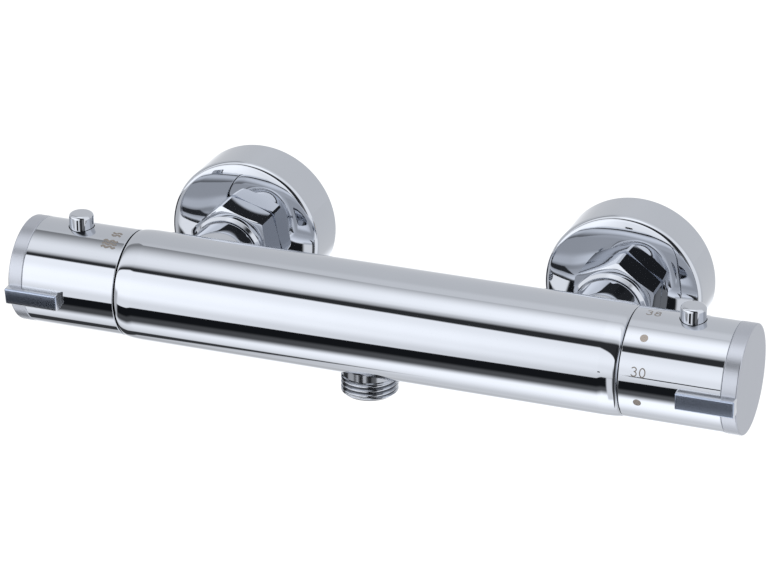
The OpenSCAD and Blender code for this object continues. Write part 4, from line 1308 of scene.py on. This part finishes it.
    def push_button(self) -> None:
        """Builds the push button, turned round its own upright line."""
        top, lip, under = self.button_top, self.lip_z, self.lip_z - self.lip_t
        along, radius = upended(rounded([
            (top, 0, 0), (top, self.button_r, self.button_round), (lip, self.button_r, 0),
            (lip, self.lip_r, self.lip_round), (under, self.lip_r, self.lip_round),
            (under, self.stem_r, 0), (self.stem_end, self.stem_r, self.stem_round),
            (self.stem_end, 0, 0)], steps=8))
        angles, place = around(self.button_columns), self.side.value * self.button_x
        shell = Shell()
        shell.grid(turned(Line.UPRIGHT, along, radius, angles, place), wrap=True)
        shell.stand_for(f"{self.side.button}_button", f"{self.side.button}_stop_button", CHROME)

    def build(self) -> None:
        """Builds the handle's pieces and its marks."""
        self.sleeve()
        self.end_cap()
        self.fin()
        self.push_button()
        DialPrint(self).build()


@dataclass
class DialPrint:
    """The marks printed round a handle's sleeve, as thin raised ink."""

    handle: Handle
    ink_t: float = 0.03
    sunk: float = 0.06
    stroke: float = 0.4
    digit_w: float = 2.3
    digit_h: float = 3.5
    digit_gap: float = 0.75
    upper_share: float = 0.46
    upper_w: float = 0.86
    numbers: tuple[tuple[str, Pair], ...] = (("38", (102.5, 88.6)), ("30", (102.7, 15.8)))
    dot_r: float = 1.45
    dot_x: float = 102.6
    dot_angles: Triple = (-18.8, 51.3, 126.0)
    wave_stroke: float = 0.85
    wave_h: float = 0.35
    wave_len: float = 2.6
    waves: tuple[tuple[float, Pair, tuple[float, ...]], ...] = (
        (1.9, (-101.0, 82.3), (-0.75, 0.75)), (2.8, (-101.6, 65.8), (-1.5, 0.0, 1.5)))
    steps: int = 48
    oval_steps: int = 40

    def wrapped(self, x: np.ndarray, up: np.ndarray, lift: Grid, centre: Pair) -> np.ndarray:
        """Wraps flat points round the sleeve.

        A height s above the mark's centre turns the angle by s over the radius.

        Args:
            x: Places along the bar from the mark's centre.
            up: Heights above it, measured on the surface.
            lift: Height above the sleeve's skin.
            centre: The mark's x and its angle in degrees.

        Returns:
            The points in space.
        """
        radius = self.handle.radius
        angle = math.radians(centre[1]) + up / radius
        return turned(Line.BAR, centre[0] + x, radius + lift, angle)

    def ribbon(self, shell: Shell, path: np.ndarray, closed: bool, centre: Pair) -> None:
        """Adds one stroke of ink: a strip along a path, with the stroke's width.

        Args:
            shell: The marks' shell.
            path: Array [point, 2] of flat points.
            closed: Whether the path is a loop.
            centre: The mark's x and its angle in degrees.
        """
        if closed:
            ahead = np.roll(path, -1, axis=0) - np.roll(path, 1, axis=0)
        else:
            ahead = np.gradient(path, axis=0)
        ahead /= np.linalg.norm(ahead, axis=1, keepdims=True)
        across = np.stack([-ahead[:, 1], ahead[:, 0]], axis=-1) * self.stroke / 2
        left, right = path + across, path - across
        points = np.stack([self.wrapped(edge[:, 0], edge[:, 1], lift, centre) for edge, lift in (
            (left, -self.sunk), (left, self.ink_t), (right, self.ink_t), (right, -self.sunk))])
        if closed:
            shell.grid(np.concatenate([points, points[:1]]), wrap=True)
        else:
            shell.grid(np.swapaxes(points, 0, 1), wrap=True)
            for end in (points[:, 0], points[:, -1]):
                shell.grid(np.array([[end[0], end[1]], [end[3], end[2]]]))

    def disc(self, shell: Shell, centre: Pair) -> None:
        """Adds a round dot of ink.

        Args:
            shell: The marks' shell.
            centre: Its x and its angle in degrees.
        """
        turn = around(self.steps)
        radius = self.dot_r * np.array([[0], [0.5], [1], [1], [0]])
        lift = np.array([[self.ink_t]] * 3 + [[-self.sunk]] * 2)
        points = self.wrapped(radius * np.cos(turn), radius * np.sin(turn), lift, centre)
        shell.grid(points, wrap=True)

    def oval(self, centre: Pair, half: Pair, first: float = 0.0, last: float = 360.0) -> np.ndarray:
        """Gives points of an oval's arc, from one angle in degrees to another."""
        turn = np.radians(np.linspace(first, last, self.oval_steps))[:, None]
        return np.array(centre) + np.array(half) * np.hstack([np.cos(turn), np.sin(turn)])

    def digit(self, shell: Shell, figure: str, x: float, centre: Pair) -> None:
        """Adds one figure, made of arcs of ovals.

        Args:
            shell: The marks' shell.
            figure: "0", "3" or "8".
            x: Its middle from the mark's centre.
            centre: The mark's x and its angle in degrees.
        """
        half_w = (self.digit_w - self.stroke) / 2
        half_h = (self.digit_h - self.stroke) / 2
        upper, lower = half_h * self.upper_share, half_h * (1 - self.upper_share)
        top = (x, half_h - upper), (half_w * self.upper_w, upper)
        bottom = (x, lower - half_h), (half_w, lower)
        if figure == "3":
            self.ribbon(shell, self.oval(*top, 160, -90), False, centre)
            self.ribbon(shell, self.oval(*bottom, 90, -160), False, centre)
            return
        for loop in ((top, bottom) if figure == "8" else (((x, 0), (half_w, half_h)),)):
            self.ribbon(shell, self.oval(*loop)[:-1], True, centre)

    def temperature_marks(self) -> None:
        """Prints the numbers and dots of the temperature scale."""
        numbers, dots = Shell(), Shell()
        step = (self.digit_w + self.digit_gap) / 2
        for figures, centre in self.numbers:
            for figure, x in zip(figures, (-step, step)):
                self.digit(numbers, figure, x, centre)
        for angle in self.dot_angles:
            self.disc(dots, (self.dot_x, angle))
        fitted(numbers.piece("temperature_numbers", PRINT), self.handle.body, PRINT)
        fitted(dots.piece("temperature_dots", PALE_PRINT), self.handle.body, PALE_PRINT)

    def flow_marks(self) -> None:
        """Prints the flow scale: two short waves for little water and three long ones for much.

        A wave's height is wave_h times the sine of a full turn for each wave_len along it.
        """
        shell = Shell()
        bold = replace(self, stroke=self.wave_stroke)
        for reach, centre, heights in self.waves:
            across = np.linspace(-reach, reach, self.steps)
            for height in heights:
                wave = height + self.wave_h * np.sin(across * FULL_TURN / self.wave_len)
                bold.ribbon(shell, np.stack([across, wave], axis=-1), False, centre)
        fitted(shell.piece("flow_marks", PRINT), self.handle.body, PRINT)

    def build(self) -> None:
        """Prints the marks of the handle's own kind."""
        if self.handle.side is Side.RIGHT:
            self.temperature_marks()
        else:
            self.flow_marks()


class InnerParts:
    """The CAD nodes that stay: each gets the finish of its material slot."""

    def dress(self) -> None:
        """Gives every CAD node its material."""
        for name, piece in frame["nodes"].items():
            finish = node_finish(name)
            piece.data.materials.clear()
            piece.data.materials.append(finish.material())
            LOG.info("%s: %s", name, finish.name)


@dataclass(frozen=True)
class PressedSpring:
    """A coil spring that a button or a poppet shortens: a copy of its CAD coils."""

    node: str
    joint: str
    body: str
    axis: Triple
    held_high: bool
    travel: float = 2.5

    def build(self) -> None:
        """Copies the coils, and joins the copy to their body."""
        source = frame["nodes"][self.node]
        mesh = source.data.copy()
        mesh.transform(source.matrix_world)
        merge(mesh, turn=False)
        piece = linked(f"{self.node}_dressed", mesh)
        fitted(piece, self.body, node_finish(self.node), self.node)
        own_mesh(piece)
        LOG.info("%s: flattens with %s", piece.name, self.joint)


@dataclass(frozen=True)
class Card:
    """A part of the studio's walls, by the angle round the bar from the front horizon upwards.

    A card without a high edge covers everything above its low edge, until the next one. Its two
    levels hold at the studio's left_x and right_x. Its two leans, in degrees for each unit of the
    sideways part, hold left and right of the studio's view_x; the right one ends at reach.
    """

    low: float
    soft: float
    level: Pair
    lean: Pair = (0.0, 0.0)
    reach: float = -0.2
    high: Optional[float] = None
    high_soft: float = 4.0
    high_lean: Pair = (0.0, 0.0)
    limits: Pair = (-2.0, 2.0)
    limit_soft: float = 0.3


@dataclass(frozen=True)
class Panel:
    """An upright panel of the studio, by its bearing: nought in front, and more to the right."""

    start: float
    end: float
    soft: float
    level: float
    top: float = 2.0
    top_soft: float = 0.1


@dataclass
class Studio:
    """Camera, studio walls that the chrome mirrors, floor and soft lamps."""

    camera_at: Triple = (374.494, -1046.278, 484.315)
    right: Triple = (0.93483, 0.35508, -0.00303)
    up: Triple = (-0.14382, 0.38642, 0.91104)
    view: Triple = (-0.32466, 0.85123, -0.41230)
    lens: float = 149.49
    sensor: float = 36.0
    clip: Pair = (0.05, 50.0)
    backdrop: float = 0.60
    view_x: float = -0.325
    left_x: float = -0.41
    right_x: float = -0.24
    bend_x: float = -0.125
    cards: tuple[Card, ...] = (
        Card(-131, 16, (0.47, 0.61)),
        Card(-113, 8, (0.62, 0.71)),
        Card(-86, 36, (1.03, 1.31)),
        Card(-58.5, 16, (0.07, 0.10), (105, 75)),
        Card(-41, 8, (0.006, 0.008), (93, 45)),
        Card(-23.3, 1.5, (0.92, 0.75), (60, 70)),
        Card(-9, 18, (1.24, 0.98)),
        Card(10, 14, (1.27, 1.10)),
        Card(30, 20, (1.10, 0.98)),
        Card(45, 3, (0.028, 0.030), (-45, -45), 0.35),
        Card(55.5, 6, (0.48, 0.62), (-15, -8)),
        Card(61.5, 8, (0.90, 1.06)),
        Card(68, 10, (0.97, 1.24)),
        Card(98, 40, (0.20, 0.20)),
        Card(103, 2, (0.63, 0.73), (-125, -20)),
        Card(118, 12, (0.585, 0.615)),
        Card(-166, 26, (0.86, 1.20), high=-131, high_soft=16, limits=(-2.0, 0.06)),
        Card(-89.9, 5, (0.04, 0.04), (260, 260), high=-88.2, high_lean=(72, 72)),
        Card(-64, 8, (0.78, 0.78), high=-14.5, high_soft=3, limits=(-0.11, 0.10), limit_soft=0.04),
        Card(-160, 8, (0.03, 0.03), high=-35, high_soft=8, limits=(-2.0, -0.77), limit_soft=0.08),
        Card(-60, 10, (0.22, 0.22), high=4, high_soft=16, limits=(0.12, 2.0), limit_soft=0.1),
        Card(-70, 12, (0.55, 0.55), high=0, high_soft=14, limits=(-2.0, -0.66), limit_soft=0.1),
        Card(-6.6, 0.5, (0.01, 0.01), high=-4.5, high_soft=0.5, limits=(-0.249, -0.215),
             limit_soft=0.003),
    )
    panels: tuple[Panel, ...] = (
        Panel(24, 50, 3, 0.17, 0.25),
        Panel(50, 105, 6, 0.92),
        Panel(12, 28, 3, 0.02, 0.72),
    )
    dark: Triple = (0.002, 0.003, 0.005)
    light: Triple = (1.245, 1.265, 1.30)
    fill_level: float = 0.75
    floor_z: float = -1100.0
    floor_half: float = 9000.0
    floor_tones: Pair = (0.3, 0.32)
    floor_glow: float = 0.85
    lamp_places: tuple[tuple[str, Triple, float, float], ...] = (
        ("lamp_top", (-500, -900, 1500), 1.6, 12.0), ("lamp_front", (1200, -1500, 500), 1.4, 7.0))

    def camera(self) -> None:
        """Places the camera at the photograph's viewing angle."""
        data = bpy.data.cameras.new("camera")
        data.lens, data.sensor_width, data.sensor_fit = self.lens, self.sensor, "HORIZONTAL"
        data.clip_start, data.clip_end = self.clip
        camera = linked("camera", data)
        axes = Matrix((self.right, self.up, [-part for part in self.view])).transposed()
        camera.matrix_world = Matrix.Translation(Vector(self.camera_at) * MM) @ axes.to_4x4()
        bpy.context.scene.camera = camera

    @staticmethod
    def rise(tree: Tree, value: Value, middle: float, width: float) -> Wire:
        """Gives a smooth step from nought to one.

        Args:
            tree: The tree.
            value: What the step depends on.
            middle: Where it is half way.
            width: The width over which it rises.

        Returns:
            The step.
        """
        return tree.step(value, middle - width / 2, middle + width / 2)

    def card_mask(self, tree: Tree, card: Card, angle: Wire, across: Wire,
                  bends: tuple[Wire, Wire]) -> Wire:
        """Works out how much of a direction a card covers.

        Args:
            tree: The tree.
            card: The card.
            angle: The direction's angle round the bar, in degrees.
            across: Its sideways part.
            bends: How far the sideways part lies left and right of that of the bar's own mirror
                image, at the card's reach.

        Returns:
            The share, from nought to one.
        """
        def leaning(lean: Pair) -> Wire:
            """Takes the edge's lean off the angle; left and right of the pivot it may differ."""
            return angle - bends[0] * lean[0] - bends[1] * lean[1] if any(lean) else angle

        mask = self.rise(tree, leaning(card.lean), card.low, card.soft)
        if card.high is not None:
            mask = mask * (1.0 - self.rise(tree, leaning(card.high_lean), card.high,
                                           card.high_soft))
        start, end = card.limits
        if start > -1:
            mask = mask * self.rise(tree, across, start, card.limit_soft)
        if end < 1:
            mask = mask * (1.0 - self.rise(tree, across, end, card.limit_soft))
        return mask

    def walls(self) -> None:
        """Builds the world: white for the camera, soft cards for the chrome, plain for the rest.

        A direction's angle is measured round the bar's axis, from the front horizon upwards. The
        cards are laid over the backdrop one after another; an edge may lean with the sideways part
        of the direction.
        """
        world = bpy.data.worlds.new("studio")
        bpy.context.scene.world = world
        tree = Tree(world)
        direction = tree.add("ShaderNodeTexCoord", output="Generated")
        across, back, up = tree.parts(direction)
        angle = up.math("ARCTAN2", back * -1.0) * math.degrees(1.0)
        sideways = across - self.view_x
        share = tree.step(across, self.left_x, self.right_x, smooth=False)
        left = sideways.math("MAXIMUM", self.bend_x).math("MINIMUM", 0.0)
        level: Value = self.backdrop
        for card in self.cards:
            first, last = card.level
            right = sideways.math("MINIMUM", card.reach - self.view_x).math("MAXIMUM", 0.0)
            mask = self.card_mask(tree, card, angle, across, (left, right))
            level = ((share * (last - first) + first) - level) * mask + level
        bearing = across.math("ARCTAN2", back * -1.0) * math.degrees(1.0)
        for panel in self.panels:
            mask = (self.rise(tree, bearing, panel.start, panel.soft)
                    * (1.0 - self.rise(tree, bearing, panel.end, panel.soft)))
            if panel.top < 1:
                mask = mask * (1.0 - self.rise(tree, up, panel.top, panel.top_soft))
            level = level * (1.0 - mask) + mask * panel.level
        mirrored = tree.between(level, self.dark, self.light)
        ray = tree.add("ShaderNodeLightPath", output="Is Camera Ray")
        seen = ray.math("MAXIMUM", ray.out("Is Transmission Ray"))
        other = tree.between(ray.out("Is Glossy Ray"), (self.fill_level,) * 3, mirrored)
        colour = tree.between(seen, other, (1.0, 1.0, 1.0))
        sky = tree.add("ShaderNodeBackground", values={"Color": colour, "Strength": 1.0})
        tree.add("ShaderNodeOutputWorld", values={"Surface": sky})

    def floor(self) -> None:
        """Lays the pale floor well below the valve."""
        share = np.linspace(-1, 1, 9) * self.floor_half
        x, y = np.meshgrid(share, share, indexing="ij")
        shell = Shell()
        shell.grid(np.stack([x, y, np.full_like(x, self.floor_z)], axis=-1))
        piece = shell.piece("floor", SLOT_FINISHES["white_plastic"])
        material = bpy.data.materials.new("floor_white")
        tree = Tree(material)
        cloud = tree.noise(tree.place(), 3.0)
        tone = tree.between(cloud, *((tone,) * 3 for tone in self.floor_tones))
        matt = tree.add("ShaderNodeBsdfDiffuse", values={"Color": tone})
        glow = tree.add("ShaderNodeEmission",
                        values={"Color": (1, 1, 1, 1), "Strength": self.floor_glow})
        seen = tree.add("ShaderNodeLightPath", output="Is Camera Ray")
        dark = tree.add("ShaderNodeEmission", values={"Color": (0, 0, 0, 1)})
        shown = tree.add("ShaderNodeMixShader", values={0: seen, 1: dark, 2: glow})
        both = tree.add("ShaderNodeAddShader", values={0: matt, 1: shown})
        tree.add("ShaderNodeOutputMaterial", values={"Surface": both})
        piece.data.materials[0] = material
        piece.visible_glossy = False

    def lamps(self) -> None:
        """Hangs two soft lamps, left out of the mirrors."""
        for name, place, size, power in self.lamp_places:
            data = bpy.data.lights.new(name, "AREA")
            data.shape, data.size, data.energy = "SQUARE", size, power
            lamp = linked(name, data)
            lamp.visible_glossy = False
            spot = Vector(place) * MM
            aim = (Vector((0, AXIS_Y, 0)) * MM - spot).to_track_quat("-Z", "Y")
            lamp.matrix_world = Matrix.Translation(spot) @ aim.to_matrix().to_4x4()

    def build(self) -> None:
        """Sets the stage."""
        self.camera()
        self.walls()
        self.floor()
        self.lamps()
        bpy.context.scene.view_settings.view_transform = "Standard"


def main() -> None:
    """Builds the scene: stage, materials of the CAD nodes, and the dressed pieces."""
    logging.basicConfig(level=logging.INFO, format="%(message)s")
    Studio().build()
    InnerParts().dress()
    BarBody().build()
    Outlet().build()
    for side in Side:
        InletUnion(side).build()
        Handle(side).build()
        inlet, button = side.inlet, side.button
        PressedSpring(f"{inlet}_poppet_spring", f"{inlet}_check_open", f"{inlet}_check_poppet",
                      (0.0, 1.0, 0.0), held_high=True).build()
        PressedSpring(f"{button}_spring", f"{button}_press", f"{side.handle}_handle",
                      (0.0, 0.0, 1.0), held_high=False).build()


if __name__ == "__main__":
    main()
